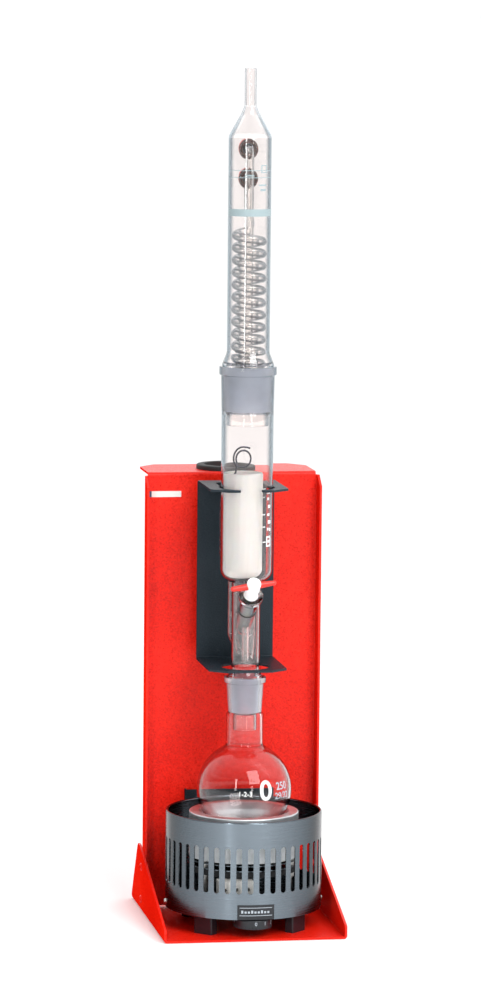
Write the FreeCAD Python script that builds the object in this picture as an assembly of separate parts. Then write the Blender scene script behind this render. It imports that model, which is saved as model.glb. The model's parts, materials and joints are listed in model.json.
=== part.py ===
import FreeCAD, Part
import math
import os

# Soxhlet extractor on a compact bench stand with a round heater.
# Millimetres, +Z up, front is -Y, +X to the right seen from the front.
# The origin is on the floor, under the middle of the whole object.

Vec = FreeCAD.Vector

# ---- Stand -----------------------------------------------------------------
SHEET = 2.0                  # thickness of the painted steel sheet
BEND_R = 3.0                 # outer radius of a bend
BASE_WIDTH = 164.0
BASE_DEPTH = 202.0
BASE_FRONT_Y = -110.0
WING_FRONT_H = 12.5          # height of a wing at the front
WING_PEAK_H = 59.0           # height of a wing at the panel
WING_REAR_H = 6.0

AXIS_Y = -39.0               # the glassware stands on this vertical axis
PANEL_Y = 41.0               # front face of the back panel
PANEL_WIDTH = 160.0
PANEL_TOP_Z = 401.0
FLANGE_DEPTH = 18.0          # side flanges, bent forwards
SHELF_DEPTH = 69.0           # top shelf, bent backwards
SHELF_CHAMFER_X = 15.0
SHELF_CHAMFER_Y = 18.0

GROMMET_Y = 71.0
GROMMET_OD = 56.0
GROMMET_NECK_OD = 48.0
GROMMET_ID = 42.0

PANEL_LIFT = 1.2             # panel's lower edge above the floor plate
PANEL_SCREW_HEIGHTS = (11.5, 41.0)
PANEL_SCREW_Y = PANEL_Y - FLANGE_DEPTH / 2
SCREW_HOLE_R = 2.1
SCREW_R = 2.0
CABLE_X = 56.0               # mains lead's hole in the panel
CABLE_Z = 30.0
CABLE_NECK_R = 6.0
LABEL_X = (-76.5, -46.7)
LABEL_Z = (378.6, 384.0)
LABEL_T = 0.3
SHIELD_HALF = 41.5           # heat shield behind the heater
SHIELD_DEPTH = 7.0
SHIELD_T = 1.5
SHIELD_Z = (12.0, 111.0)

# ---- Glassware bracket -----------------------------------------------------
BRACKET_WIDTH = 70.0
BRACKET_STANDOFF = 20.0
BRACKET_FRONT_Y = AXIS_Y - 27.0
BRACKET_TOP_Z = 396.0
BRACKET_LOW_Z = 233.0
BRACKET_LOW_HOLE_R = 21.75
BRACKET_TOP_HOLE_R = 25.0
BRACKET_GAP = 19.0           # open front of the top fork
BRACKET_SCREW_Z = (274.0, 356.0)
BRACKET_SCREW_R = 2.6        # clearance hole
RELIEF_HALF = 22.5           # half width of the top opening behind the fork
RELIEF_DEPTH = 40.0
PLATE_BACK_Y = PANEL_Y - BRACKET_STANDOFF
PLATE_FRONT_Y = PLATE_BACK_Y - SHEET

# ---- Heater ----------------------------------------------------------------
SHELL_R = 70.0
SHELL_T = 1.0
SHELL_LOW_Z = 19.0
SHELL_TOP_Z = 106.0
SLOT_COUNT = 43
SLOT_WIDTH = 5.0
SLOT_LOW_Z = 42.0
SLOT_HIGH_Z = 83.0
WINDOW_WIDTH = 33.0          # opening for the control plate
WINDOW_HIGH_Z = 32.5
FOOT_SIZE = (19.5, 9.0)      # along the rim, across the rim
FOOT_R = 57.0
BLOCK_R = 49.0
BLOCK_LOW_Z = 65.0
BLOCK_TOP_Z = 105.0
BOWL_RIM_R = 40.5
KNOB_R = 16.8
KNOB_LOW_Z = 10.0
KNOB_HEIGHT = 8.2
KNOB_FORWARD = 54.0          # knob axis in front of the glassware axis
KNOB_NOTCHES = 36
SHAFT_R = 3.0
SHELL_SCREW_ANGLES = (0.0, 90.0, 180.0)
SHELL_SCREW_Z = 23.5
SHELL_SCREW_HOLE_R = 1.7
PAN_R = SHELL_R - SHELL_T
PAN_T = 1.0
PAN_WALL_Z = 28.0
ELEMENT_R = 32.0             # circle of the tubular element
ELEMENT_HALF = 4.0           # half width of its groove
DISC_R = 50.0
DISC_T = 0.8
DISC_HEIGHTS = (62.5, 58.0)
DISH_R = 48.0                # insulating dish
DISH_RECESS_R = 39.0
DISH_Z = (52.0, 55.0, 58.0)  # bottom, recess, top
POST_ANGLES = (90.0, 210.0, 330.0)
POST_CIRCLE_R = 44.0
POST_R = 2.5
REGULATOR = (-32.0, 18.0, -58.0, -36.0, 20.0, 38.0)
TERMINAL_BLOCK = (-31.0, 0.0, -57.0, -40.0, 38.0, 51.0)
PLATE_GAP = 0.2              # control plate to window
GLAND_Z = 34.9
GLAND_ANGLE = 40.0
GLAND_R = 6.5
GLAND_BORE = 3.4

# ---- Glassware -------------------------------------------------------------
FLASK_R = 42.5
FLASK_Z = 124.3              # centre of the bulb
FLASK_WALL = 1.8
FLASK_NECK_R = 16.8
SEAT_GAP = 0.3               # flask bulb to heating block

NS29_TOP_Z = 226.0           # mouth of the flask socket
NS29_LENGTH = 32.0
NS29_CONE_R = 14.6
NS45_TOP_Z = 504.0           # mouth of the extractor socket
NS45_LENGTH = 40.0
NS45_CONE_R = 22.5
TAPER = 0.05                 # radius change per length, 1:10 on diameter
JOINT_GAP = 0.15             # cone to socket, radial

NECK_JOIN_Z = FLASK_Z + math.sqrt(FLASK_R ** 2 - (FLASK_NECK_R + 2.5) ** 2)
SOCKET29_TOP_R = NS29_CONE_R + JOINT_GAP
SOCKET29_LOW_R = SOCKET29_TOP_R - TAPER * NS29_LENGTH
SOCKET45_TOP_R = NS45_CONE_R + JOINT_GAP
SOCKET45_LOW_R = SOCKET45_TOP_R - TAPER * NS45_LENGTH

CHAMBER_R = 23.2
CHAMBER_WALL = 1.8
CHAMBER_LOW_Z = 311.0
CHAMBER_CORNER_R = 12.0
STEM_R = 12.7
STEM_WALL = 1.6
DRIP_TIP_Z = 178.2
TIP_R = 10.7
TIP_WALL = 1.5

VAPOUR_R = 6.0
VAPOUR_BORE = 4.7
VAPOUR_AZIMUTH = -20.0       # from straight back, turned towards +X
VAPOUR_OUT = 31.5
VAPOUR_LOW_Z = 236.5
VAPOUR_HIGH_Z = 392.0
SIPHON_R = 3.25
SIPHON_BORE = 2.2
SIPHON_OUT = 28.0
SIPHON_TOP_Z = 385.0
SIPHON_RISE_AZIMUTH = 38.0
SIPHON_FALL_AZIMUTH = 18.0
DRAIN_R = 3.2
DRAIN_BORE = 2.0
DRAIN_LOW_Z = 240.0

# The stopcock's own lengths run along its inclined axis, from the stem's axis.
TAP_Z = 281.5                # where the stopcock crosses the axis
TAP_TILT = 38.0              # degrees above horizontal, towards the front
TAP_TURN = 9.0               # rest angle of the T-handle about its own axis
TAP_HANDLE_S = 50.5          # handle centre along the stopcock axis
TAP_BAR_LENGTH = 42.0
TAP_BAR_R = 3.0              # at the plug's head
TAP_BAR_END_R = 2.25
TAP_BORE_GAP = 0.1
TAP_HEAD_R = 6.2
TAP_HEAD_LOW = 5.8           # head below and above the bar's axis
TAP_HEAD_HIGH = 5.0
TAP_NECK_R = 5.6
BARREL_R = 8.0
BARREL_LOW_S = -20.0
BARREL_MOUTH_S = 35.0
MOUTH_R = 11.0
PLUG_MOUTH_R = 6.4
PLUG_LOW_R = 5.0
THREAD_R = 2.9
THREAD_LENGTH = 8.3
NUT_R = 5.0
NUT_LENGTH = 6.2
WASHER_T = 1.0

THIMBLE_R = 17.7
THIMBLE_WALL = 2.0
THIMBLE_LOW_Z = 315.3
THIMBLE_HEIGHT = 94.0
THIMBLE_OFFSET_X = -3.4      # it leans on the chamber's left wall
WIRE_R = 0.8
WIRE_FOOT_Z = 384.0
WIRE_KNEE_Z = 399.0
LOOP_Z = 421.5
LOOP_INNER = (6.7, 7.5)      # half width and half height of the full turn
LOOP_OUTER = (8.6, 10.4)     # the same of the open outer turn
LOOP_BEND = 4.6              # bend radius of the wire
LOOP_DRIFT = 0.3             # sideways step of the wire at each corner

CONDENSER_R = 19.0
CONDENSER_WALL = 1.5
CONDENSER_SHOULDER_Z = 706.0  # where the taper to the vent tube begins
VENT_R = 5.15
VENT_WALL = 1.2
VENT_TOP_Z = 766.6
CONDENSER_TIP_Z = 451.5
CONDENSER_TIP_R = 18.8
CONE_WALL = 1.9              # glass of the condenser's ground cone
COIL_R = 11.6
COIL_TUBE_R = 4.0
COIL_PITCH = 10.9
COIL_TURNS = 13
COIL_LOW_Z = 481.0
ARM_HEIGHTS = (695.0, 669.0)
ARM_TURN = -5.0              # side arms point backwards, turned towards +X
RETURN_TUBE_R = 3.7          # centre tube, inside the coil
NECK_R = 6.8
NECK_BORE = 4.3
NECK_END = 35.0
CAP_START = 24.5
CAP_END = 38.5
CAP_R = 9.0
CAP_END_BORE = 5.2
BARB_LENGTH = 26.0


# ---- Small helpers ---------------------------------------------------------
def box(x0, x1, y0, y1, z0, z1):
    return Part.makeBox(x1 - x0, y1 - y0, z1 - z0, Vec(x0, y0, z0))


def cylinder(radius, z0, z1, x=0.0, y=0.0):
    return Part.makeCylinder(radius, z1 - z0, Vec(x, y, z0))


def tube(outer, inner, z0, z1, x=0.0, y=0.0):
    return cylinder(outer, z0, z1, x, y).cut(cylinder(inner, z0, z1, x, y))


def prism(points, direction):
    """A closed polygon pushed along a direction."""
    loop = [Vec(*p) for p in points]
    return Part.Face(Part.makePolygon(loop + loop[:1])).extrude(Vec(*direction))


def revolve(outline):
    """A solid of revolution about Z from a closed (radius, z) outline."""
    loop = [Vec(r, 0, z) for r, z in outline]
    face = Part.Face(Part.makePolygon(loop + loop[:1]))
    return face.revolve(Vec(0, 0, 0), Vec(0, 0, 1), 360)


def revolve_edges(pieces):
    """A solid of revolution about Z from straight runs and arcs.

    Each piece is ("line", p, q) or ("arc", p, middle, q) in (radius, z).
    """
    edges = []
    for piece in pieces:
        points = [Vec(r, 0, z) for r, z in piece[1:]]
        if piece[0] == "line":
            edges.append(Part.makeLine(points[0], points[1]))
        else:
            edges.append(Part.Arc(*points).toShape())
    face = Part.Face(Part.Wire(Part.__sortEdges__(edges)))
    return face.revolve(Vec(0, 0, 0), Vec(0, 0, 1), 360)


def on_axis(shape):
    """Move a shape modelled about the Z axis to the glassware axis."""
    moved = shape.copy()
    moved.translate(Vec(0, AXIS_Y, 0))
    return moved


def turned(shape, angle):
    """Turn a shape about the Z axis, in degrees."""
    moved = shape.copy()
    moved.rotate(Vec(0, 0, 0), Vec(0, 0, 1), angle)
    return moved


def along_y(radius, y0, y1, x, z):
    return Part.makeCylinder(radius, y1 - y0, Vec(x, y0, z), Vec(0, 1, 0))


def along_x(radius, x0, x1, y, z):
    return Part.makeCylinder(radius, x1 - x0, Vec(x0, y, z), Vec(1, 0, 0))


def hexagon_y(across_flats, y0, y1, x, z):
    """A hexagonal prism along Y."""
    corner = across_flats / math.sqrt(3)
    points = []
    for i in range(6):
        angle = math.radians(60 * i)
        points.append((x + corner * math.cos(angle), y0, z + corner * math.sin(angle)))
    return prism(points, (0, y1 - y0, 0))


def u_channel(width, depth, thickness, bend):
    """Outline face of a U section, opening towards +Y, outer size width by depth."""
    outer = Part.makeBox(width, depth + bend, 1, Vec(-width / 2, 0, 0))
    edges = [e for e in outer.Edges if is_corner(e, 0.0)]
    outer = outer.makeFillet(bend, edges)
    inner = Part.makeBox(
        width - 2 * thickness, depth + bend, 1, Vec(-width / 2 + thickness, thickness, 0)
    )
    edges = [e for e in inner.Edges if is_corner(e, thickness)]
    inner = inner.makeFillet(bend - thickness, edges)
    section = outer.cut(inner).common(box(-width, width, 0, depth, 0, 1))
    return [f for f in section.Faces if abs(f.CenterOfMass.z) < 1e-6][0]


def is_corner(edge, y):
    """True for an upright edge at the given depth."""
    a = edge.Vertexes[0].Point
    b = edge.Vertexes[-1].Point
    return abs(a.y - y) < 1e-6 and abs(b.y - y) < 1e-6 and abs(a.z - b.z) > 0.5


def rounded_tube(points, radius, bend, bore=0.0):
    """A round tube along straight runs joined by tangent arcs."""
    nodes = [Vec(*p) for p in points]
    edges = []
    start = nodes[0]
    for i in range(1, len(nodes) - 1):
        before = (nodes[i - 1] - nodes[i]).normalize()
        after = (nodes[i + 1] - nodes[i]).normalize()
        half = before.getAngle(after) / 2
        reach = bend / math.tan(half)
        enter = nodes[i] + before * reach
        leave = nodes[i] + after * reach
        bisector = (before + after).normalize()
        middle = nodes[i] + bisector * (bend / math.sin(half) - bend)
        edges.append(Part.makeLine(start, enter))
        edges.append(Part.Arc(enter, middle, leave).toShape())
        start = leave
    edges.append(Part.makeLine(start, nodes[-1]))
    path = Part.Wire(edges)
    solid = sweep_circle(path, nodes[0], nodes[1] - nodes[0], radius)
    if bore > 0:
        solid = solid.cut(sweep_circle(path, nodes[0], nodes[1] - nodes[0], bore))
    return solid


def sweep_circle(path, centre, direction, radius):
    ring = Part.Wire(Part.Circle(centre, direction, radius).toShape())
    shell = Part.BRepOffsetAPI.MakePipeShell(path)
    shell.setFrenetMode(True)
    shell.add(ring)
    shell.build()
    shell.makeSolid()
    return shell.shape()


# ---- Stand -----------------------------------------------------------------
def base_tray():
    """One bent sheet: the floor plate with a sloping wing at each side."""
    section = u_channel(BASE_WIDTH, WING_PEAK_H + SHEET, SHEET, BEND_R)
    tray = section.extrude(Vec(0, 0, BASE_DEPTH))
    tray.rotate(Vec(0, 0, 0), Vec(1, 0, 0), 90)
    tray.translate(Vec(0, BASE_FRONT_Y + BASE_DEPTH, 0))
    rear = BASE_FRONT_Y + BASE_DEPTH
    side = [
        (BASE_FRONT_Y, 0),
        (rear, 0),
        (rear, WING_REAR_H),
        (rear - 34, WING_PEAK_H - 3),
        (rear - 38, WING_PEAK_H),
        (PANEL_Y + 4, WING_PEAK_H),
        (BASE_FRONT_Y + 1.5, WING_FRONT_H),
        (BASE_FRONT_Y, WING_FRONT_H - 1.5),
    ]
    half = BASE_WIDTH / 2
    outline = prism([(-half, y, z) for y, z in side], (BASE_WIDTH, 0, 0))
    tray = tray.common(outline)
    for x_sign in (-1, 1):
        for z in PANEL_SCREW_HEIGHTS:
            x0 = x_sign * half
            tray = tray.cut(along_x(SCREW_HOLE_R, min(x0, 0), max(x0, 0), PANEL_SCREW_Y, z))
    return tray


def back_panel():
    """One bent sheet: flanges forwards at the sides, a shelf backwards at the top."""
    bottom = SHEET + PANEL_LIFT
    wall_top = PANEL_TOP_Z - BEND_R
    section = u_channel(PANEL_WIDTH, FLANGE_DEPTH, SHEET, BEND_R)
    wall = section.extrude(Vec(0, 0, wall_top - bottom))
    wall.rotate(Vec(0, 0, 0), Vec(0, 0, 1), 180)
    wall.translate(Vec(0, PANEL_Y + SHEET, bottom))
    half = PANEL_WIDTH / 2
    flange_front = PANEL_Y + SHEET - FLANGE_DEPTH
    clip = [
        (flange_front - 1, wall_top - 9),
        (flange_front, wall_top - 9),
        (flange_front + 12, wall_top - 1),
        (flange_front + 12, wall_top + 1),
        (flange_front - 1, wall_top + 1),
    ]
    wall = wall.cut(prism([(-half - 1, y, z) for y, z in clip], (PANEL_WIDTH + 2, 0, 0)))
    shelf_half = half - BEND_R
    rear = PANEL_Y + SHELF_DEPTH
    bend_axis_y = PANEL_Y + BEND_R
    bend_axis_z = PANEL_TOP_Z - BEND_R
    bend = Part.makeCylinder(BEND_R, 2 * shelf_half, Vec(-shelf_half, bend_axis_y, bend_axis_z), Vec(1, 0, 0))
    bend = bend.cut(
        Part.makeCylinder(
            BEND_R - SHEET, 2 * shelf_half, Vec(-shelf_half, bend_axis_y, bend_axis_z), Vec(1, 0, 0)
        )
    )
    bend = bend.common(box(-half, half, PANEL_Y, bend_axis_y, bend_axis_z, PANEL_TOP_Z))
    cx = shelf_half - SHELF_CHAMFER_X
    cy = rear - SHELF_CHAMFER_Y
    shelf = prism(
        [
            (-shelf_half, bend_axis_y, PANEL_TOP_Z - SHEET),
            (shelf_half, bend_axis_y, PANEL_TOP_Z - SHEET),
            (shelf_half, cy, PANEL_TOP_Z - SHEET),
            (cx, rear, PANEL_TOP_Z - SHEET),
            (-cx, rear, PANEL_TOP_Z - SHEET),
            (-shelf_half, cy, PANEL_TOP_Z - SHEET),
        ],
        (0, 0, SHEET),
    )
    panel = wall.fuse([bend, shelf]).removeSplitter()
    panel = panel.cut(cylinder(GROMMET_NECK_OD / 2, PANEL_TOP_Z - 10, PANEL_TOP_Z + 1, 0, GROMMET_Y))
    for z in BRACKET_SCREW_Z:
        panel = panel.cut(along_y(BRACKET_SCREW_R, PANEL_Y - 1, PANEL_Y + 5, 0, z))
    panel = panel.cut(along_y(CABLE_NECK_R, PANEL_Y - 1, PANEL_Y + 5, CABLE_X, CABLE_Z))
    for z in PANEL_SCREW_HEIGHTS:
        panel = panel.cut(along_x(SCREW_HOLE_R, -half - 1, half + 1, PANEL_SCREW_Y, z))
    return panel


def panel_screws():
    """Four button-head screws that join the wings to the panel's flanges."""
    screws = []
    for x_sign in (-1, 1):
        for z in PANEL_SCREW_HEIGHTS:
            inner = x_sign * (PANEL_WIDTH / 2 - SHEET - 3)
            face = x_sign * BASE_WIDTH / 2
            tip = x_sign * (BASE_WIDTH / 2 + 1.6)
            shank = along_x(SCREW_R, min(inner, face), max(inner, face), PANEL_SCREW_Y, z)
            head = Part.makeCone(3.8, 2.6, 1.6, Vec(face, PANEL_SCREW_Y, z), Vec(x_sign, 0, 0))
            inside = x_sign * (PANEL_WIDTH / 2 - SHEET)
            nut_end = x_sign * (PANEL_WIDTH / 2 - SHEET - 2.5)
            nut = along_x(3.6, min(inside, nut_end), max(inside, nut_end), PANEL_SCREW_Y, z)
            socket = Part.makeCylinder(1.2, 1.0, Vec(tip, PANEL_SCREW_Y, z), Vec(-x_sign, 0, 0))
            screws.append(shank.fuse([head, nut]).cut(socket))
    return Part.makeCompound(screws)


def hose_grommet():
    """Rubber ring in the shelf that leads hoses or a rod."""
    ring = cylinder(GROMMET_OD / 2, PANEL_TOP_Z, PANEL_TOP_Z + 4.2, 0, GROMMET_Y)
    ring = ring.makeFillet(1.6, [e for e in ring.Edges if e.BoundBox.ZMin > PANEL_TOP_Z + 4])
    neck = cylinder(GROMMET_NECK_OD / 2, PANEL_TOP_Z - SHEET, PANEL_TOP_Z, 0, GROMMET_Y)
    low = cylinder(GROMMET_OD / 2 - 1, PANEL_TOP_Z - SHEET - 2.2, PANEL_TOP_Z - SHEET, 0, GROMMET_Y)
    bore = cylinder(GROMMET_ID / 2, PANEL_TOP_Z - 10, PANEL_TOP_Z + 10, 0, GROMMET_Y)
    return ring.fuse([neck, low]).removeSplitter().cut(bore)


def cable_grommet():
    """Rubber grommet where the mains lead passes through the panel."""
    front = along_y(9.0, PANEL_Y - 2.2, PANEL_Y, CABLE_X, CABLE_Z)
    neck = along_y(CABLE_NECK_R, PANEL_Y, PANEL_Y + SHEET, CABLE_X, CABLE_Z)
    rear = along_y(9.0, PANEL_Y + SHEET, PANEL_Y + SHEET + 2.2, CABLE_X, CABLE_Z)
    bore = along_y(3.6, PANEL_Y - 5, PANEL_Y + 8, CABLE_X, CABLE_Z)
    return front.fuse([neck, rear]).removeSplitter().cut(bore)


def label_plate():
    """Thin blank label near the top left of the panel."""
    return box(*LABEL_X, PANEL_Y - LABEL_T, PANEL_Y, *LABEL_Z)


def heat_shield():
    """Black sheet with two returns that keeps the heater's heat off the panel."""
    front = PANEL_Y - SHIELD_DEPTH
    inner = SHIELD_HALF - SHIELD_T
    shield = box(-SHIELD_HALF, SHIELD_HALF, front, PANEL_Y, *SHIELD_Z)
    return shield.cut(box(-inner, inner, front + SHIELD_T, PANEL_Y, SHIELD_Z[0] - 1, SHIELD_Z[1] + 1))


# ---- Glassware bracket -----------------------------------------------------
def glass_bracket():
    """C-shaped bracket: a guide hole at the bottom and an open fork at the top."""
    depth = PLATE_BACK_Y - BRACKET_FRONT_Y
    height = BRACKET_TOP_Z - BRACKET_LOW_Z
    section = u_channel(height, depth, SHEET, BEND_R)
    part = section.extrude(Vec(0, 0, BRACKET_WIDTH))
    part.rotate(Vec(0, 0, 0), Vec(0, 1, 0), 90)
    part.rotate(Vec(0, 0, 0), Vec(0, 0, 1), 180)
    part.translate(Vec(BRACKET_WIDTH / 2, PLATE_BACK_Y, (BRACKET_TOP_Z + BRACKET_LOW_Z) / 2))
    half = BRACKET_WIDTH / 2
    corner_x = half - 15.0
    corner_y = BRACKET_FRONT_Y + 12.5
    plan = prism(
        [
            (-half, PLATE_BACK_Y, BRACKET_LOW_Z),
            (-half, corner_y, BRACKET_LOW_Z),
            (-corner_x, BRACKET_FRONT_Y, BRACKET_LOW_Z),
            (corner_x, BRACKET_FRONT_Y, BRACKET_LOW_Z),
            (half, corner_y, BRACKET_LOW_Z),
            (half, PLATE_BACK_Y, BRACKET_LOW_Z),
        ],
        (0, 0, height),
    )
    part = part.common(plan)
    middle_z = (BRACKET_TOP_Z + BRACKET_LOW_Z) / 2
    low_hole = cylinder(BRACKET_LOW_HOLE_R, BRACKET_LOW_Z - 1, middle_z, 0, AXIS_Y)
    top_hole = cylinder(BRACKET_TOP_HOLE_R, middle_z, BRACKET_TOP_Z + 1, 0, AXIS_Y)
    gap = box(-BRACKET_GAP / 2, BRACKET_GAP / 2, BRACKET_FRONT_Y - 1, AXIS_Y, middle_z, BRACKET_TOP_Z + 1)
    rear = AXIS_Y + RELIEF_DEPTH
    relief = box(-RELIEF_HALF, RELIEF_HALF, AXIS_Y, rear, middle_z, BRACKET_TOP_Z + 1)
    relief = relief.makeFillet(6, [e for e in relief.Edges if is_corner(e, rear)])
    part = part.cut(low_hole.fuse([top_hole, gap, relief]))
    prong_ends = [e for e in part.Edges if is_prong_end(e)]
    part = part.makeFillet(2.2, prong_ends)
    for z in BRACKET_SCREW_Z:
        part = part.cut(along_y(BRACKET_SCREW_R, PLATE_FRONT_Y - 1, PLATE_BACK_Y + 1, 0, z))
    return part


def is_prong_end(edge):
    """True for the upright edges at the tips of the fork."""
    point = edge.CenterOfMass
    upright = abs(edge.Vertexes[0].Point.z - edge.Vertexes[-1].Point.z) > 1
    at_front = abs(point.y - BRACKET_FRONT_Y) < 1e-3
    at_gap = abs(abs(point.x) - BRACKET_GAP / 2) < 1e-3
    return upright and at_front and at_gap


def bracket_spacers():
    """Round spacers between the bracket and the panel."""
    rings = []
    for z in BRACKET_SCREW_Z:
        ring = along_y(6.0, PLATE_BACK_Y, PANEL_Y, 0, z)
        rings.append(ring.cut(along_y(BRACKET_SCREW_R, PLATE_BACK_Y, PANEL_Y, 0, z)))
    return Part.makeCompound(rings)


def bracket_screws():
    """Hexagon-socket screws through bracket, spacer and panel."""
    screws = []
    for z in BRACKET_SCREW_Z:
        head = along_y(4.25, PLATE_FRONT_Y - 4.5, PLATE_FRONT_Y, 0, z)
        head = head.makeChamfer(0.6, [e for e in head.Edges if e.BoundBox.YMax < PLATE_FRONT_Y - 4])
        head = head.cut(hexagon_y(4.0, PLATE_FRONT_Y - 5, PLATE_FRONT_Y - 2.2, 0, z))
        shank = along_y(2.5, PLATE_FRONT_Y, PANEL_Y + SHEET + 6.0, 0, z)
        screws.append(head.fuse(shank))
    return Part.makeCompound(screws)


def bracket_nuts():
    """Hexagon nuts behind the panel."""
    nuts = []
    for z in BRACKET_SCREW_Z:
        y0 = PANEL_Y + SHEET
        nut = hexagon_y(8.0, y0, y0 + 4.0, 0, z)
        nuts.append(nut.cut(along_y(2.5, y0 - 1, y0 + 6, 0, z)))
    return Part.makeCompound(nuts)


# ---- Heater ----------------------------------------------------------------
def heater_shell():
    """Stainless sheet cylinder with a rolled rim, upright slots and a window."""
    inner = SHELL_R - SHELL_T
    rim = Part.makeTorus(SHELL_R - 1.2, 1.2, Vec(0, 0, SHELL_TOP_Z - 1.2))
    shell = tube(SHELL_R, inner, SHELL_LOW_Z, SHELL_TOP_Z - 1.2).fuse(rim)
    pitch = 360.0 / SLOT_COUNT
    radius = SLOT_WIDTH / 2
    tools = []
    for i in range(SLOT_COUNT):
        x0 = inner - 2
        x1 = SHELL_R + 2
        slab = box(x0, x1, -radius, radius, SLOT_LOW_Z + radius, SLOT_HIGH_Z - radius)
        low = along_x(radius, x0, x1, 0, SLOT_LOW_Z + radius)
        high = along_x(radius, x0, x1, 0, SLOT_HIGH_Z - radius)
        tools.append(turned(slab.fuse([low, high]), -90 + (i + 0.5) * pitch))
    shell = shell.cut(Part.makeCompound(tools))
    half = WINDOW_WIDTH / 2
    window = box(-half, half, -SHELL_R - 2, -SHELL_R + 6, SHELL_LOW_Z - 1, WINDOW_HIGH_Z)
    shell = shell.cut(window)
    for angle in SHELL_SCREW_ANGLES:
        hole = along_x(SHELL_SCREW_HOLE_R, inner - 3, SHELL_R + 3, 0, SHELL_SCREW_Z)
        shell = shell.cut(turned(hole, angle))
    return on_axis(shell)


def heater_pan():
    """Bottom of the heater: a shallow dish inside the shell."""
    floor_z = SHELL_LOW_Z + PAN_T
    dish = cylinder(PAN_R, SHELL_LOW_Z, PAN_WALL_Z)
    dish = dish.cut(cylinder(PAN_R - PAN_T, floor_z, PAN_WALL_Z))
    half = WINDOW_WIDTH / 2 + 2
    dish = dish.cut(box(-half, half, -PAN_R - 1, -PAN_R + 6, floor_z, PAN_WALL_Z + 1))
    for angle in SHELL_SCREW_ANGLES:
        hole = along_x(SHELL_SCREW_HOLE_R, PAN_R - 4, PAN_R + 3, 0, SHELL_SCREW_Z)
        dish = dish.cut(turned(hole, angle))
    dish = dish.cut(cylinder(SHAFT_R + 1.0, 10, 30, 0, -KNOB_FORWARD))
    return on_axis(dish)


def shell_screws():
    """Pan-head screws that hold the shell to the pan."""
    screws = []
    for angle in SHELL_SCREW_ANGLES:
        shank = along_x(1.5, SHELL_R - 4, SHELL_R, 0, SHELL_SCREW_Z)
        head = Part.makeCone(2.9, 2.2, 1.8, Vec(SHELL_R, 0, SHELL_SCREW_Z), Vec(1, 0, 0))
        slot = box(SHELL_R + 1.1, SHELL_R + 3, -0.4, 0.4, SHELL_SCREW_Z - 3, SHELL_SCREW_Z + 3)
        screws.append(turned(shank.fuse(head).cut(slot), angle))
    return on_axis(Part.makeCompound(screws))


def heater_feet():
    """Four feet under the pan, turned to face outwards."""
    along, across = FOOT_SIZE
    feet = []
    for i in range(4):
        inner = FOOT_R - across / 2
        outer = FOOT_R + across / 2
        block = box(inner, outer, -along / 2, along / 2, SHEET, SHELL_LOW_Z)
        upright = [e for e in block.Edges if e.BoundBox.ZLength > 5]
        feet.append(turned(block.makeFillet(1.2, upright), 45 + 90 * i))
    return on_axis(Part.makeCompound(feet))


def heating_block():
    """Aluminium block with a bowl for the flask and a groove for the element."""
    block = cylinder(BLOCK_R, BLOCK_LOW_Z, BLOCK_TOP_Z)
    block = block.makeFillet(1.2, [e for e in block.Edges if e.BoundBox.ZMin > BLOCK_TOP_Z - 0.1])
    seat = FLASK_R + SEAT_GAP
    block = block.cut(Part.makeSphere(seat, Vec(0, 0, FLASK_Z)))
    drop = FLASK_Z - BLOCK_TOP_Z
    bowl_r = math.sqrt(seat * seat - drop * drop)
    lead = 3 * (BOWL_RIM_R - bowl_r)
    block = block.cut(Part.makeCone(BOWL_RIM_R - lead, BOWL_RIM_R, lead, Vec(0, 0, BLOCK_TOP_Z - lead)))
    outer = ELEMENT_R + ELEMENT_HALF
    inner = ELEMENT_R - ELEMENT_HALF
    return on_axis(block.cut(tube(outer, inner, BLOCK_LOW_Z, BLOCK_LOW_Z + 2 * ELEMENT_HALF)))


def heating_element():
    """Tubular element in the groove under the block, with two cold ends."""
    ring = Part.makeTorus(ELEMENT_R, ELEMENT_HALF - 0.2, Vec(0, 0, BLOCK_LOW_Z + ELEMENT_HALF))
    gap = box(0, ELEMENT_R + 8, -7, 7, BLOCK_LOW_Z - 1, BLOCK_LOW_Z + 10)
    ring = ring.cut(gap)
    return on_axis(turned(ring, 90))


def reflector_discs():
    """Two thin sheet discs under the block, with a gap between them."""
    discs = []
    for z in DISC_HEIGHTS:
        disc = cylinder(DISC_R, z, z + DISC_T)
        for angle in POST_ANGLES:
            disc = disc.cut(turned(cylinder(POST_R, z - 1, z + 2, POST_CIRCLE_R), angle))
        discs.append(on_axis(disc))
    return discs


def insulation_dish():
    """Dark insulating dish under the lower disc."""
    low, recess, high = DISH_Z
    dish = cylinder(DISH_R, low, high).cut(cylinder(DISH_RECESS_R, low, recess))
    for angle in POST_ANGLES:
        dish = dish.cut(turned(cylinder(POST_R, low - 1, high + 1, POST_CIRCLE_R), angle))
    return on_axis(dish)


def support_posts():
    """Three threaded posts that carry the block above the pan."""
    posts = []
    for angle in POST_ANGLES:
        foot = SHELL_LOW_Z + PAN_T
        post = cylinder(POST_R, foot, BLOCK_LOW_Z, POST_CIRCLE_R)
        collar = cylinder(4.2, foot, foot + 4, POST_CIRCLE_R)
        upper = cylinder(4.0, DISC_HEIGHTS[0] + DISC_T, BLOCK_LOW_Z, POST_CIRCLE_R)
        spacer = cylinder(4.0, DISC_HEIGHTS[1] + DISC_T, DISC_HEIGHTS[0], POST_CIRCLE_R)
        nut = cylinder(4.2, DISH_Z[0] - 3.5, DISH_Z[0], POST_CIRCLE_R)
        posts.append(turned(post.fuse([collar, upper, spacer, nut]), angle))
    return on_axis(Part.makeCompound(posts))


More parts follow.
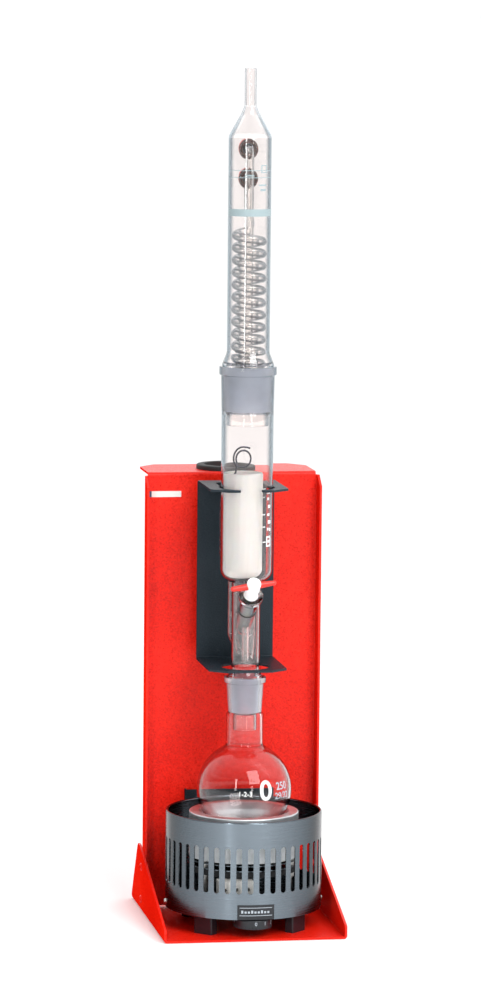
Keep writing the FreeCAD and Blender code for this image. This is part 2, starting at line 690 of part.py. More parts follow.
def regulator_housing():
    """Energy regulator on the pan, behind the control plate."""
    x0, x1, y0, y1, z0, z1 = REGULATOR
    body = box(x0, x1, y0, y1, z0, z1)
    body = body.makeChamfer(1.5, [e for e in body.Edges if e.BoundBox.ZMin > z1 - 0.1])
    shaft_hole = cylinder(SHAFT_R + 0.05, z0 - 1, z0 + 12, 0, -KNOB_FORWARD)
    return on_axis(body.cut(shaft_hole))


def terminal_block():
    """White ceramic terminal block on top of the regulator."""
    x0, x1, y0, y1, z0, z1 = TERMINAL_BLOCK
    middle = (x0 + x1) / 2
    holes = []
    for x in (middle - 10.5, middle, middle + 10.5):
        holes.append(cylinder(2.2, z1 - 5, z1 + 1, x, (y0 + y1) / 2))
        holes.append(along_y(1.8, y0 - 1, y1 + 1, x, z0 + 5.5))
    return on_axis(box(x0, x1, y0, y1, z0, z1).cut(Part.makeCompound(holes)))


def control_plate():
    """Black curved plate in the shell's window, above the thumbwheel."""
    plate = tube(SHELL_R, SHELL_R - 0.9, SHELL_LOW_Z + 0.2, WINDOW_HIGH_Z - PLATE_GAP)
    half = WINDOW_WIDTH / 2 - PLATE_GAP
    plate = plate.common(box(-half, half, -SHELL_R - 1, -SHELL_R + 8, 0, 60))
    arm = box(-6, 6, -SHELL_R, REGULATOR[2], 21.0, 31.0)
    arm = arm.common(cylinder(SHELL_R - 0.5, 0, 60))
    arm = arm.cut(box(-7, 7, REGULATOR[2], 0, 0, 60))
    return on_axis(plate.fuse(arm).removeSplitter())


def heater_knob():
    """Thumbwheel with a notched rim, turned about an upright axis."""
    wheel = cylinder(KNOB_R, KNOB_LOW_Z, KNOB_LOW_Z + KNOB_HEIGHT)
    wheel = wheel.makeFillet(0.8, [e for e in wheel.Edges if e.Length > 60])
    notches = []
    for i in range(KNOB_NOTCHES):
        notch = cylinder(0.55, KNOB_LOW_Z - 1, KNOB_LOW_Z + 2.6, KNOB_R + 0.2)
        notches.append(turned(notch, 360.0 * i / KNOB_NOTCHES))
    wheel = wheel.cut(Part.makeCompound(notches))
    wheel = wheel.cut(cylinder(SHAFT_R, KNOB_LOW_Z + 1.5, KNOB_LOW_Z + 20))
    wheel.translate(Vec(0, -KNOB_FORWARD, 0))
    return on_axis(wheel)


def knob_shaft():
    """Steel shaft from the thumbwheel up into the regulator."""
    return on_axis(cylinder(SHAFT_R, KNOB_LOW_Z + 1.5, REGULATOR[4] + 11.0, 0, -KNOB_FORWARD))


def cable_gland():
    """Gland on the shell's rear where the mains lead comes out."""
    body = along_x(GLAND_R, SHELL_R - 4, SHELL_R + 5, 0, GLAND_Z)
    dome = Part.makeCone(5.6, 4.4, 5.0, Vec(SHELL_R + 5, 0, GLAND_Z), Vec(1, 0, 0))
    gland = body.fuse(dome).cut(cylinder(SHELL_R, 0, 100))
    gland = gland.cut(along_x(GLAND_BORE, SHELL_R - 6, SHELL_R + 12, 0, GLAND_Z))
    return on_axis(turned(gland, GLAND_ANGLE))


# ---- Flask -----------------------------------------------------------------
def flask():
    """250 ml round-bottom flask with a 29/32 ground socket."""
    inner_r = FLASK_R - FLASK_WALL
    low = NS29_TOP_Z - NS29_LENGTH
    join_out_r = FLASK_NECK_R + 2.5
    join_in_r = SOCKET29_LOW_R + 1.5
    join_in_z = FLASK_Z + math.sqrt(inner_r ** 2 - join_in_r ** 2)
    top = NS29_TOP_Z
    collar = 6.0
    outer_mid = (FLASK_R, FLASK_Z)
    inner_mid = (inner_r, FLASK_Z)
    neck_z = NECK_JOIN_Z + 4.0
    pieces = [
        ("arc", (0.0, FLASK_Z - FLASK_R), sphere_point(FLASK_R, -45), outer_mid),
        ("arc", outer_mid, sphere_point(FLASK_R, 30), (join_out_r, NECK_JOIN_Z)),
        ("line", (join_out_r, NECK_JOIN_Z), (FLASK_NECK_R, neck_z)),
        ("line", (FLASK_NECK_R, neck_z), (FLASK_NECK_R, low - 2.0)),
        ("line", (FLASK_NECK_R, low - 2.0), (SOCKET29_LOW_R + 1.9, low)),
        ("line", (SOCKET29_LOW_R + 1.9, low), (SOCKET29_TOP_R + 1.9, top - collar)),
        ("line", (SOCKET29_TOP_R + 1.9, top - collar), (18.85, top - collar + 1.5)),
        ("line", (18.85, top - collar + 1.5), (18.85, top - 0.8)),
        ("line", (18.85, top - 0.8), (18.05, top)),
        ("line", (18.05, top), (SOCKET29_TOP_R, top)),
        ("line", (SOCKET29_TOP_R, top), (SOCKET29_LOW_R, low)),
        ("line", (SOCKET29_LOW_R, low), (join_in_r, low - 3.0)),
        ("line", (join_in_r, low - 3.0), (join_in_r, join_in_z)),
        ("arc", (join_in_r, join_in_z), sphere_point(inner_r, 30), inner_mid),
        ("arc", inner_mid, sphere_point(inner_r, -45), (0.0, FLASK_Z - inner_r)),
        ("line", (0.0, FLASK_Z - inner_r), (0.0, FLASK_Z - FLASK_R)),
    ]
    return on_axis(revolve_edges(pieces))


def sphere_point(radius, angle):
    """A point of the flask's bulb outline, angle above the equator."""
    a = math.radians(angle)
    return (radius * math.cos(a), FLASK_Z + radius * math.sin(a))


# ---- Extractor -------------------------------------------------------------
def extractor_body():
    """Socket, chamber with a closed round bottom, stem and 29/32 cone in one glass."""
    top = NS45_TOP_Z
    ground_low = top - NS45_LENGTH
    inner = CHAMBER_R - CHAMBER_WALL
    corner = CHAMBER_CORNER_R
    inner_corner = corner - CHAMBER_WALL
    cr = CHAMBER_R - corner
    cz = CHAMBER_LOW_Z + corner
    cos45 = math.sqrt(0.5)
    floor_z = CHAMBER_LOW_Z + CHAMBER_WALL
    cone_top = NS29_TOP_Z
    cone_low = cone_top - NS29_LENGTH
    cone_low_r = NS29_CONE_R - TAPER * NS29_LENGTH
    stem_low = cone_top + 6.0
    pieces = [
        ("line", (0.0, floor_z), (cr, floor_z)),
        ("arc", (cr, floor_z), (cr + inner_corner * cos45, cz - inner_corner * cos45), (inner, cz)),
        ("line", (inner, cz), (inner, ground_low - 3.0)),
        ("line", (inner, ground_low - 3.0), (SOCKET45_LOW_R, ground_low)),
        ("line", (SOCKET45_LOW_R, ground_low), (SOCKET45_TOP_R, top)),
        ("line", (SOCKET45_TOP_R, top), (24.8, top)),
        ("line", (24.8, top), (25.6, top - 0.8)),
        ("line", (25.6, top - 0.8), (25.6, top - 7.2)),
        ("line", (25.6, top - 7.2), (23.9, top - 8.4)),
        ("line", (23.9, top - 8.4), (CHAMBER_R, ground_low - 2.0)),
        ("line", (CHAMBER_R, ground_low - 2.0), (CHAMBER_R, cz)),
        ("arc", (CHAMBER_R, cz), (cr + corner * cos45, cz - corner * cos45), (STEM_R, stem_join_z())),
        ("line", (STEM_R, stem_join_z()), (STEM_R, stem_low)),
        ("line", (STEM_R, stem_low), (15.0, cone_top + 1.5)),
        ("line", (15.0, cone_top + 1.5), (NS29_CONE_R, cone_top)),
        ("line", (NS29_CONE_R, cone_top), (cone_low_r, cone_low)),
        ("line", (cone_low_r, cone_low), (TIP_R, cone_low - 2.5)),
        ("line", (TIP_R, cone_low - 2.5), (TIP_R, DRIP_TIP_Z)),
        ("line", (TIP_R, DRIP_TIP_Z), (TIP_R - TIP_WALL, DRIP_TIP_Z)),
        ("line", (TIP_R - TIP_WALL, DRIP_TIP_Z), (TIP_R - TIP_WALL, cone_low + 1.0)),
        ("line", (TIP_R - TIP_WALL, cone_low + 1.0), (STEM_R - STEM_WALL, cone_low + 8.0)),
        ("line", (STEM_R - STEM_WALL, cone_low + 8.0), (STEM_R - STEM_WALL, CHAMBER_LOW_Z)),
        ("line", (STEM_R - STEM_WALL, CHAMBER_LOW_Z), (0.0, CHAMBER_LOW_Z)),
        ("line", (0.0, CHAMBER_LOW_Z), (0.0, floor_z)),
    ]
    body = revolve_edges(pieces)
    body = body.cut(Part.makeCompound([barrel_outer(), drain_upper_outer()]))
    body = body.cut(vapour_solid(VAPOUR_R))
    body = body.cut(siphon_solid(SIPHON_R))
    return on_axis(body)


def stem_join_z():
    """Height where the stem's outer wall meets the chamber's round bottom."""
    cr = CHAMBER_R - CHAMBER_CORNER_R
    cz = CHAMBER_LOW_Z + CHAMBER_CORNER_R
    return cz - math.sqrt(CHAMBER_CORNER_R ** 2 - (STEM_R - cr) ** 2)


def vapour_path():
    return [
        (0, STEM_R - 2.5, VAPOUR_LOW_Z),
        (0, VAPOUR_OUT, VAPOUR_LOW_Z + VAPOUR_OUT - STEM_R + 2.5),
        (0, VAPOUR_OUT, VAPOUR_HIGH_Z),
        (0, CHAMBER_R - 1.2, VAPOUR_HIGH_Z + VAPOUR_OUT - CHAMBER_R + 1.2),
    ]


def vapour_solid(radius, bore=0.0):
    return turned(rounded_tube(vapour_path(), radius, 11.0, bore), VAPOUR_AZIMUTH)


def vapour_tube():
    """Side tube that leads the vapour from the stem to above the thimble."""
    solid = vapour_solid(VAPOUR_R, VAPOUR_BORE)
    stem = cylinder(STEM_R - STEM_WALL, 200, 300)
    inside = stem.fuse(cylinder(CHAMBER_R - CHAMBER_WALL, 315, 480))
    return on_axis(solid.cut(inside))


def ring_point(radius, azimuth, z):
    """A point at an angle from straight back, positive towards -X."""
    a = math.radians(azimuth)
    return (-radius * math.sin(a), radius * math.cos(a), z)


def siphon_path():
    return [
        ring_point(CHAMBER_R - 2.5, SIPHON_RISE_AZIMUTH, 326.0),
        ring_point(SIPHON_OUT, SIPHON_RISE_AZIMUTH, 331.0),
        ring_point(SIPHON_OUT, SIPHON_RISE_AZIMUTH, SIPHON_TOP_Z),
        ring_point(SIPHON_OUT, SIPHON_FALL_AZIMUTH, SIPHON_TOP_Z),
        ring_point(SIPHON_OUT, SIPHON_FALL_AZIMUTH, 260.0),
        ring_point(STEM_R - 2.5, SIPHON_FALL_AZIMUTH, 244.0),
    ]


def siphon_solid(radius, bore=0.0):
    return rounded_tube(siphon_path(), radius, 4.6, bore)


def siphon_tube():
    """Thin tube that empties the chamber into the stem when it is full."""
    solid = siphon_solid(SIPHON_R, SIPHON_BORE)
    stem = cylinder(STEM_R - STEM_WALL, 200, 300)
    inside = stem.fuse(cylinder(CHAMBER_R - CHAMBER_WALL, 315, 480))
    return on_axis(solid.cut(inside))


# ---- Stopcock --------------------------------------------------------------
def tap_frame(shape):
    """Place a shape modelled along Z onto the inclined stopcock axis."""
    moved = shape.copy()
    moved.rotate(Vec(0, 0, 0), Vec(1, 0, 0), 90 - TAP_TILT)
    moved.translate(Vec(0, 0, TAP_Z))
    return moved


def plug_radius(s):
    """Radius of the tapered plug at a place along its axis."""
    share = (s - BARREL_LOW_S) / (BARREL_MOUTH_S - BARREL_LOW_S)
    return PLUG_LOW_R + (PLUG_MOUTH_R - PLUG_LOW_R) * share


def barrel_outer():
    """Outer form of the barrel, with its flared mouth."""
    outline = [
        (0, BARREL_LOW_S),
        (BARREL_R - 1.6, BARREL_LOW_S),
        (BARREL_R, BARREL_LOW_S + 3),
        (BARREL_R, BARREL_MOUTH_S - 9),
        (MOUTH_R, BARREL_MOUTH_S - 4),
        (MOUTH_R, BARREL_MOUTH_S - 0.6),
        (MOUTH_R - 0.6, BARREL_MOUTH_S),
        (0, BARREL_MOUTH_S),
    ]
    return tap_frame(revolve(outline))


def stopcock_barrel():
    """Glass barrel across the stem, with a tapered bore and two side ports."""
    low = plug_radius(BARREL_LOW_S) + TAP_BORE_GAP
    high = plug_radius(BARREL_MOUTH_S) + TAP_BORE_GAP
    length = BARREL_MOUTH_S - BARREL_LOW_S
    bore = tap_frame(Part.makeCone(low, high, length, Vec(0, 0, BARREL_LOW_S)))
    ports = cylinder(DRAIN_BORE, TAP_Z - 20, TAP_Z + 20)
    return on_axis(barrel_outer().cut(bore).cut(ports))


def drain_upper_outer():
    return cylinder(DRAIN_R, TAP_Z, CHAMBER_LOW_Z + CHAMBER_WALL)


def drain_tube():
    """Tube from the chamber's floor through the stopcock down into the stem."""
    upper = drain_upper_outer().cut(cylinder(DRAIN_BORE, TAP_Z, CHAMBER_LOW_Z + 5))
    lower = cylinder(DRAIN_R, DRAIN_LOW_Z, TAP_Z).cut(cylinder(DRAIN_BORE, DRAIN_LOW_Z - 5, TAP_Z))
    solids = [upper.cut(barrel_outer()), lower.cut(barrel_outer())]
    return on_axis(Part.makeCompound(solids))


def stopcock_plug():
    """PTFE plug: tapered, with a cross bore, a threaded end and a round head on a neck."""
    head_low = TAP_HANDLE_S - TAP_HEAD_LOW
    head_high = TAP_HANDLE_S + TAP_HEAD_HIGH
    outline = [
        (0, BARREL_LOW_S - THREAD_LENGTH),
        (THREAD_R, BARREL_LOW_S - THREAD_LENGTH),
        (THREAD_R, BARREL_LOW_S + 1),
        (PLUG_LOW_R, BARREL_LOW_S + 1),
        (PLUG_MOUTH_R, BARREL_MOUTH_S),
        (TAP_NECK_R, BARREL_MOUTH_S + 1),
        (TAP_NECK_R, head_low - 0.6),
        (TAP_HEAD_R, head_low),
        (TAP_HEAD_R, head_high - 0.7),
        (TAP_HEAD_R - 0.7, head_high),
        (0, head_high),
    ]
    plug = revolve(outline)
    bar_hole = along_x(TAP_BAR_R, -TAP_HEAD_R - 1, TAP_HEAD_R + 1, 0, TAP_HANDLE_S)
    plug = tap_frame(plug.cut(turned(bar_hole, TAP_TURN)))
    return on_axis(plug.cut(cylinder(DRAIN_BORE, TAP_Z - 20, TAP_Z + 20)))


def stopcock_handle():
    """Red bar through the plug's head, thinner towards its rounded ends."""
    half = TAP_BAR_LENGTH / 2
    middle = TAP_HEAD_R + 0.4
    bar = along_x(TAP_BAR_R, -middle, middle, 0, TAP_HANDLE_S)
    for side in (-1, 1):
        start = Vec(side * middle, 0, TAP_HANDLE_S)
        end = Vec(side * (half - TAP_BAR_END_R), 0, TAP_HANDLE_S)
        taper = Part.makeCone(TAP_BAR_R, TAP_BAR_END_R, half - TAP_BAR_END_R - middle, start, Vec(side, 0, 0))
        bar = bar.fuse([taper, Part.makeSphere(TAP_BAR_END_R, end)])
    return on_axis(tap_frame(turned(bar, TAP_TURN)))


def stopcock_washer():
    """Thin PTFE washer between the barrel's end and the nut."""
    top = BARREL_LOW_S - 0.3
    return on_axis(tap_frame(tube(NUT_R + 0.2, THREAD_R, top - WASHER_T, top)))


def stopcock_nut():
    """Red retaining nut on the plug's threaded end, with finger grooves."""
    top = BARREL_LOW_S - 0.3 - WASHER_T
    nut = cylinder(NUT_R, top - NUT_LENGTH, top)
    grooves = []
    for i in range(12):
        grooves.append(turned(cylinder(0.6, top - NUT_LENGTH - 1, top - 1.3, NUT_R + 0.2), 30 * i))
    nut = nut.cut(Part.makeCompound(grooves)).cut(cylinder(THREAD_R, top - 20, top + 20))
    return on_axis(tap_frame(nut))


# ---- Thimble ---------------------------------------------------------------
def thimble():
    """Porous cup that holds the sample."""
    top = THIMBLE_LOW_Z + THIMBLE_HEIGHT
    corner = 8.0
    inner_corner = corner - THIMBLE_WALL
    cr = THIMBLE_R - corner
    cz = THIMBLE_LOW_Z + corner
    cos45 = math.sqrt(0.5)
    inner = THIMBLE_R - THIMBLE_WALL
    pieces = [
        ("line", (0.0, THIMBLE_LOW_Z), (cr, THIMBLE_LOW_Z)),
        ("arc", (cr, THIMBLE_LOW_Z), (cr + corner * cos45, cz - corner * cos45), (THIMBLE_R, cz)),
        ("line", (THIMBLE_R, cz), (THIMBLE_R, top)),
        ("line", (THIMBLE_R, top), (inner, top)),
        ("line", (inner, top), (inner, cz)),
        ("arc", (inner, cz), (cr + inner_corner * cos45, cz - inner_corner * cos45), (cr, cz - inner_corner)),
        ("line", (cr, cz - inner_corner), (0.0, cz - inner_corner)),
        ("line", (0.0, cz - inner_corner), (0.0, THIMBLE_LOW_Z)),
    ]
    return shifted_thimble(revolve_edges(pieces))


def shifted_thimble(shape):
    moved = shape.copy()
    moved.translate(Vec(THIMBLE_OFFSET_X, 0, 0))
    return on_axis(moved)


def thimble_wire():
    """Wire that springs against the thimble's walls, with two turns above it for lifting."""
    reach = THIMBLE_R - THIMBLE_WALL - WIRE_R - 0.3
    back_y = -LOOP_DRIFT * 4
    points = [
        (reach, back_y, WIRE_KNEE_Z),
        (reach, back_y, WIRE_FOOT_Z),
        (-reach, back_y, WIRE_FOOT_Z),
        (-reach, back_y, WIRE_KNEE_Z),
        (-LOOP_INNER[0], back_y, LOOP_Z - 12.0),
    ]
    corners = [(-1, -0.42), (-1, 0.42), (-0.42, 1), (0.42, 1), (1, 0.42), (1, -0.42), (0.42, -1), (-0.42, -1)]
    for i, (x, z) in enumerate(corners):
        points.append((x * LOOP_INNER[0], back_y + i * LOOP_DRIFT, LOOP_Z + z * LOOP_INNER[1]))
    for i, (x, z) in enumerate(corners[:3]):
        points.append((x * LOOP_OUTER[0], back_y + (8 + i) * LOOP_DRIFT, LOOP_Z + z * LOOP_OUTER[1]))
    points.append((0.62 * LOOP_OUTER[0], back_y + 11 * LOOP_DRIFT, LOOP_Z + 0.93 * LOOP_OUTER[1]))
    return shifted_thimble(rounded_tube(points, WIRE_R, LOOP_BEND))


# ---- Condenser -------------------------------------------------------------
def arm_out(shape, z):
    """Place a shape modelled along +Y at a side arm's height and turn."""
    moved = turned(shape, ARM_TURN)
    moved.translate(Vec(0, AXIS_Y, z))
    return moved


def condenser_jacket():
    """Outer glass: cone and drip tube below, dome and vent tube above, two threaded arms."""
    wall = CONDENSER_WALL
    cone_top = NS45_TOP_Z
    cone_low = cone_top - NS45_LENGTH
    cone_low_r = NS45_CONE_R - TAPER * NS45_LENGTH
    shoulder = CONDENSER_SHOULDER_Z
    r = CONDENSER_R
    inner = r - wall
    neck_r = 8.0
    bore = VENT_R - VENT_WALL
    tip_r = CONDENSER_TIP_R
    pieces = [
        ("line", (NS45_CONE_R, cone_top), (23.3, cone_top + 1.2)),
        ("line", (23.3, cone_top + 1.2), (r, cone_top + 12.0)),
        ("line", (r, cone_top + 12.0), (r, shoulder)),
        ("arc", (r, shoulder), (r - 0.45, shoulder + 3.8), (r - 1.8, shoulder + 7.3)),
        ("line", (r - 1.8, shoulder + 7.3), (neck_r, shoulder + 21.0)),
        ("arc", (neck_r, shoulder + 21.0), (neck_r - 1.9, shoulder + 24.7), (VENT_R, shoulder + 29.0)),
        ("line", (VENT_R, shoulder + 29.0), (VENT_R, VENT_TOP_Z)),
        ("line", (VENT_R, VENT_TOP_Z), (bore, VENT_TOP_Z)),
        ("line", (bore, VENT_TOP_Z), (bore, shoulder + 29.0)),
        ("arc", (bore, shoulder + 29.0), (bore + 0.8, shoulder + 24.2), (neck_r - 1.2, shoulder + 20.2)),
        ("line", (neck_r - 1.2, shoulder + 20.2), (inner - 1.7, shoulder + 6.3)),
        ("arc", (inner - 1.7, shoulder + 6.3), (inner - 0.4, shoulder + 3.3), (inner, shoulder)),
        ("line", (inner, shoulder), (inner, cone_top + 13.5)),
        ("line", (inner, cone_top + 13.5), (NS45_CONE_R - CONE_WALL, cone_top + 3.5)),
        ("line", (NS45_CONE_R - CONE_WALL, cone_top + 3.5), (cone_low_r - CONE_WALL, cone_low)),
        ("line", (cone_low_r - CONE_WALL, cone_low), (tip_r - wall, cone_low - 3.0)),
        ("line", (tip_r - wall, cone_low - 3.0), (tip_r - wall, CONDENSER_TIP_Z)),
        ("line", (tip_r - wall, CONDENSER_TIP_Z), (tip_r, CONDENSER_TIP_Z)),
        ("line", (tip_r, CONDENSER_TIP_Z), (tip_r, cone_low - 1.5)),
        ("line", (tip_r, cone_low - 1.5), (cone_low_r, cone_low)),
        ("line", (cone_low_r, cone_low), (NS45_CONE_R, cone_top)),
    ]
    jacket = on_axis(revolve_edges(pieces))
    hollow = on_axis(cylinder(inner, 500, shoulder))
    for z in ARM_HEIGHTS:
        neck = arm_out(along_y(NECK_R, 10.0, NECK_END, 0, 0), z).cut(hollow)
        jacket = jacket.fuse(neck)
        run_end = CONDENSER_R + 4
        jacket = jacket.cut(arm_out(along_y(COIL_TUBE_R, 5.0, run_end, 0, 0), z))
        jacket = jacket.cut(arm_out(along_y(NECK_BORE, run_end, NECK_END + 1, 0, 0), z))
    return jacket.removeSplitter()


def condenser_coil():
    """Coil, centre return tube and the two runs out to the side arms."""
    height = COIL_PITCH * COIL_TURNS
    top = COIL_LOW_Z + height
    helix = Part.makeHelix(COIL_PITCH, height, COIL_R)
    helix.rotate(Vec(0, 0, 0), Vec(0, 0, 1), 90 + ARM_TURN)
    helix.translate(Vec(0, 0, COIL_LOW_Z))
    start = helix.Edges[0].valueAt(helix.Edges[0].FirstParameter)
    tangent = helix.Edges[0].tangentAt(helix.Edges[0].FirstParameter)
    shell = Part.BRepOffsetAPI.MakePipeShell(helix)
    shell.setFrenetMode(True)
    shell.add(Part.Wire(Part.Circle(start, tangent, COIL_TUBE_R).toShape()))
    shell.build()
    shell.makeSolid()
    coil = on_axis(shell.shape())
    high_arm, low_arm = ARM_HEIGHTS
    reach = CONDENSER_R + 4
    rise = [(0, COIL_R, top), (0, COIL_R, low_arm), (0, reach, low_arm)]
    back = [(0, COIL_R, COIL_LOW_Z), (0, 0, COIL_LOW_Z - 0.01), (0, 0, high_arm), (0, reach, high_arm)]
    solids = [coil]
    for run in (rounded_tube(rise, COIL_TUBE_R, 6.0), rounded_tube(back, RETURN_TUBE_R, 5.0)):
        solids.append(on_axis(turned(run, ARM_TURN)))
    return Part.makeCompound(solids)


def screw_caps():
    """Two red screw caps on the side arms, with an open end for the barb."""
    caps = []
    for z in ARM_HEIGHTS:
        cap = along_y(CAP_R, CAP_START, CAP_END, 0, 0)
        cap = cap.makeFillet(1.0, [e for e in cap.Edges if e.BoundBox.YMin > CAP_END - 0.1])
        grooves = []
        for i in range(24):
            angle = math.radians(15 * i)
            x = (CAP_R + 0.15) * math.cos(angle)
            z_out = (CAP_R + 0.15) * math.sin(angle)
            grooves.append(along_y(0.45, CAP_START - 1, CAP_END - 3, x, z_out))
        cap = cap.cut(Part.makeCompound(grooves))
        cap = cap.cut(along_y(NECK_R, CAP_START - 1, CAP_END - 2.0, 0, 0))
        cap = cap.cut(along_y(CAP_END_BORE, CAP_START, CAP_END + 1, 0, 0))
        caps.append(arm_out(cap, z))
    return caps


def cap_seals():
    """Silicone rings pressed by the caps onto the arms' ends."""
    rings = []
    for z in ARM_HEIGHTS:
        ring = along_y(NECK_R - 0.1, NECK_END, CAP_END - 2.0, 0, 0)
        ring = ring.cut(along_y(NECK_BORE - 0.3, NECK_END - 1, CAP_END, 0, 0))
        rings.append(arm_out(ring, z))
    return Part.makeCompound(rings)


def hose_barbs():
    """Two hose connectors held in the screw caps, with three barbs each."""
    barbs = []
    for z in ARM_HEIGHTS:
        stem = along_y(NECK_BORE - 0.3, CAP_END - 8.0, CAP_END + 4, 0, 0)
        stem = stem.fuse(along_y(5.1, CAP_END - 2.0, CAP_END + 2.0, 0, 0))
        stem = stem.fuse(along_y(3.6, CAP_END + 2, CAP_END + BARB_LENGTH, 0, 0))
        for i in range(3):
            at = CAP_END + 9 + 6.0 * i
            stem = stem.fuse(Part.makeCone(4.9, 3.6, 5.0, Vec(0, at, 0), Vec(0, 1, 0)))
        stem = stem.cut(along_y(2.3, CAP_END - 10, CAP_END + 30, 0, 0))
        barbs.append(arm_out(stem.removeSplitter(), z))
    return barbs


# ---- Export ----------------------------------------------------------------
def build():
    """Every piece of the object by name."""
    upper_disc, lower_disc = reflector_discs()
    upper_cap, lower_cap = screw_caps()
    upper_barb, lower_barb = hose_barbs()
    return {
        "base_tray": base_tray(),
        "back_panel": back_panel(),
        "panel_screws": panel_screws(),
        "hose_grommet": hose_grommet(),
        "cable_grommet": cable_grommet(),
        "label_plate": label_plate(),
        "heat_shield": heat_shield(),
        "glass_bracket": glass_bracket(),
        "bracket_spacers": bracket_spacers(),
        "bracket_screws": bracket_screws(),
        "bracket_nuts": bracket_nuts(),
        "heater_shell": heater_shell(),
        "heater_pan": heater_pan(),
        "heater_feet": heater_feet(),
        "shell_screws": shell_screws(),
        "heating_block": heating_block(),
        "heating_element": heating_element(),
        "upper_reflector": upper_disc,
        "lower_reflector": lower_disc,
        "insulation_dish": insulation_dish(),
        "support_posts": support_posts(),
        "regulator_housing": regulator_housing(),
        "terminal_block": terminal_block(),
        "control_plate": control_plate(),
        "cable_gland": cable_gland(),
        "heater_knob": heater_knob(),
        "knob_shaft": knob_shaft(),
        "flask": flask(),
        "extractor_body": extractor_body(),
        "vapour_tube": vapour_tube(),
        "siphon_tube": siphon_tube(),
        "drain_tube": drain_tube(),
        "stopcock_barrel": stopcock_barrel(),
        "stopcock_plug": stopcock_plug(),
        "stopcock_handle": stopcock_handle(),
        "stopcock_washer": stopcock_washer(),
        "stopcock_nut": stopcock_nut(),
        "thimble": thimble(),
        "thimble_wire": thimble_wire(),
        "condenser_jacket": condenser_jacket(),
        "condenser_coil": condenser_coil(),
        "upper_screw_cap": upper_cap,
        "lower_screw_cap": lower_cap,
        "cap_seals": cap_seals(),
        "upper_hose_barb": upper_barb,
        "lower_hose_barb": lower_barb,
    }


os.makedirs("parts", exist_ok=True)
for name, shape in build().items():
    if not shape.isValid():
        print("not valid:", name)
    print(name, len(shape.Solids), round(shape.Volume))
    shape.exportStep("parts/" + name + ".step")
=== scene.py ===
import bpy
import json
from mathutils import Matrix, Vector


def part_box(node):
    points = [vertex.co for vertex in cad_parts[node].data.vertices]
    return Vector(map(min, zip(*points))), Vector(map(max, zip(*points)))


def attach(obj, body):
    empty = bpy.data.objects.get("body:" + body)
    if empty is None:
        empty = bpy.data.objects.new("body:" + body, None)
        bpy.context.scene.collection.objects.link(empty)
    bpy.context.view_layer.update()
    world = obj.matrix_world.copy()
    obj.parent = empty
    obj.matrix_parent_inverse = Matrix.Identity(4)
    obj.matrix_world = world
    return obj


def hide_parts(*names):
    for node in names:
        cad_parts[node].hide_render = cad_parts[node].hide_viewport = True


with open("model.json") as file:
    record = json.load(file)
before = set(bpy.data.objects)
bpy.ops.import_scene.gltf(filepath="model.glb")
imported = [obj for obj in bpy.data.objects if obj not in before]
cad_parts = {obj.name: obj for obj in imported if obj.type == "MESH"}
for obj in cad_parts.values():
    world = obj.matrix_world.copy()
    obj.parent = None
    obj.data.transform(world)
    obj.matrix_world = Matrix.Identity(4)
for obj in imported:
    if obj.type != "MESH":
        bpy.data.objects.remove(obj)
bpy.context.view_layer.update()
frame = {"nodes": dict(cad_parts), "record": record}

import json
import math
import random

import bmesh
import bpy
from mathutils import Matrix, Vector

# Looks of the Soxhlet extractor. Lengths are millimetres in this script and metres in Blender.
# Z is up and the front is -Y.
MM = 0.001
AXIS_Y = -39.0
AXIS = Vector((0.0, AXIS_Y * MM, 0.0))          # foot of the glassware's upright axis
scene = bpy.context.scene
nodes = frame["nodes"]


# ---- Driving dimensions ----------------------------------------------------
FLASK_Z = 124.3              # centre of the bulb
FLASK_R = 42.5
FLASK_WALL = 1.7
NECK_R = 16.8
BEAD_R = 18.85               # bead at the flask's mouth
THROAT = (18.0, 161.3)       # where the neck's bore opens into the bulb
NS29_TOP = 226.0             # mouth of the flask's socket
NS29_LOW = 194.0

CHAMBER_R = 23.2
CHAMBER_WALL = 1.8
CHAMBER_LOW = 311.0
CHAMBER_CORNER = 12.0
STEM_R = 12.7
STEM_BORE = 11.1
TIP_R = 10.7
TIP_BORE = 9.2
TIP_Z = 178.2
NS45_TOP = 504.0             # mouth of the extractor's socket
NS45_LOW = 464.0
SOCKET_BEAD_R = 25.6         # bead at that mouth

TAP_Z = 281.5                # where the stopcock crosses the axis
TAP_TILT = 38.0              # degrees above level, towards the front
BARREL_R = 8.0
BARREL_FLARE_R = 11.0
BARREL_LOW = -20.0           # along the stopcock, from the axis
BARREL_MOUTH = 35.0
BARREL_HOLE_R = 7.95         # hole in the stem
BARREL_HOLE_END = 26.0

VAPOUR_TURN = -20.0          # degrees from straight back, positive towards -X
VAPOUR_OUT = 31.5            # from the axis
VAPOUR_TOP = 392.0
VAPOUR_BEND = 11.0
VAPOUR_R = 6.0
VAPOUR_BORE = 4.8
SIPHON_RISE = 38.0           # degrees, as for the vapour tube, where the siphon goes up
SIPHON_FALL = 18.0           # and where it comes down
SIPHON_OUT = 28.0
SIPHON_TOP = 385.0
SIPHON_BEND = 4.6
SIPHON_R = 3.25
SIPHON_BORE = 2.2
DRAIN_R = 3.2
DRAIN_BORE = 2.0
DRAIN_RUNS = [(311.5, 302.0, 292.5), (270.5, 262.0, 250.0, 240.0)]     # above and below the stopcock

THIMBLE_X = -3.4             # the thimble leans on the chamber's left side
THIMBLE_TOP = 409.3
THIMBLE_R = 17.7
THIMBLE_INNER_R = 15.7
THIMBLE_BEND_R = 9.7         # middle of the round edge at the bottom, from the thimble's own axis
THIMBLE_BEND_Z = 323.3
PLEATS = 17
PLEAT_SEED = 7

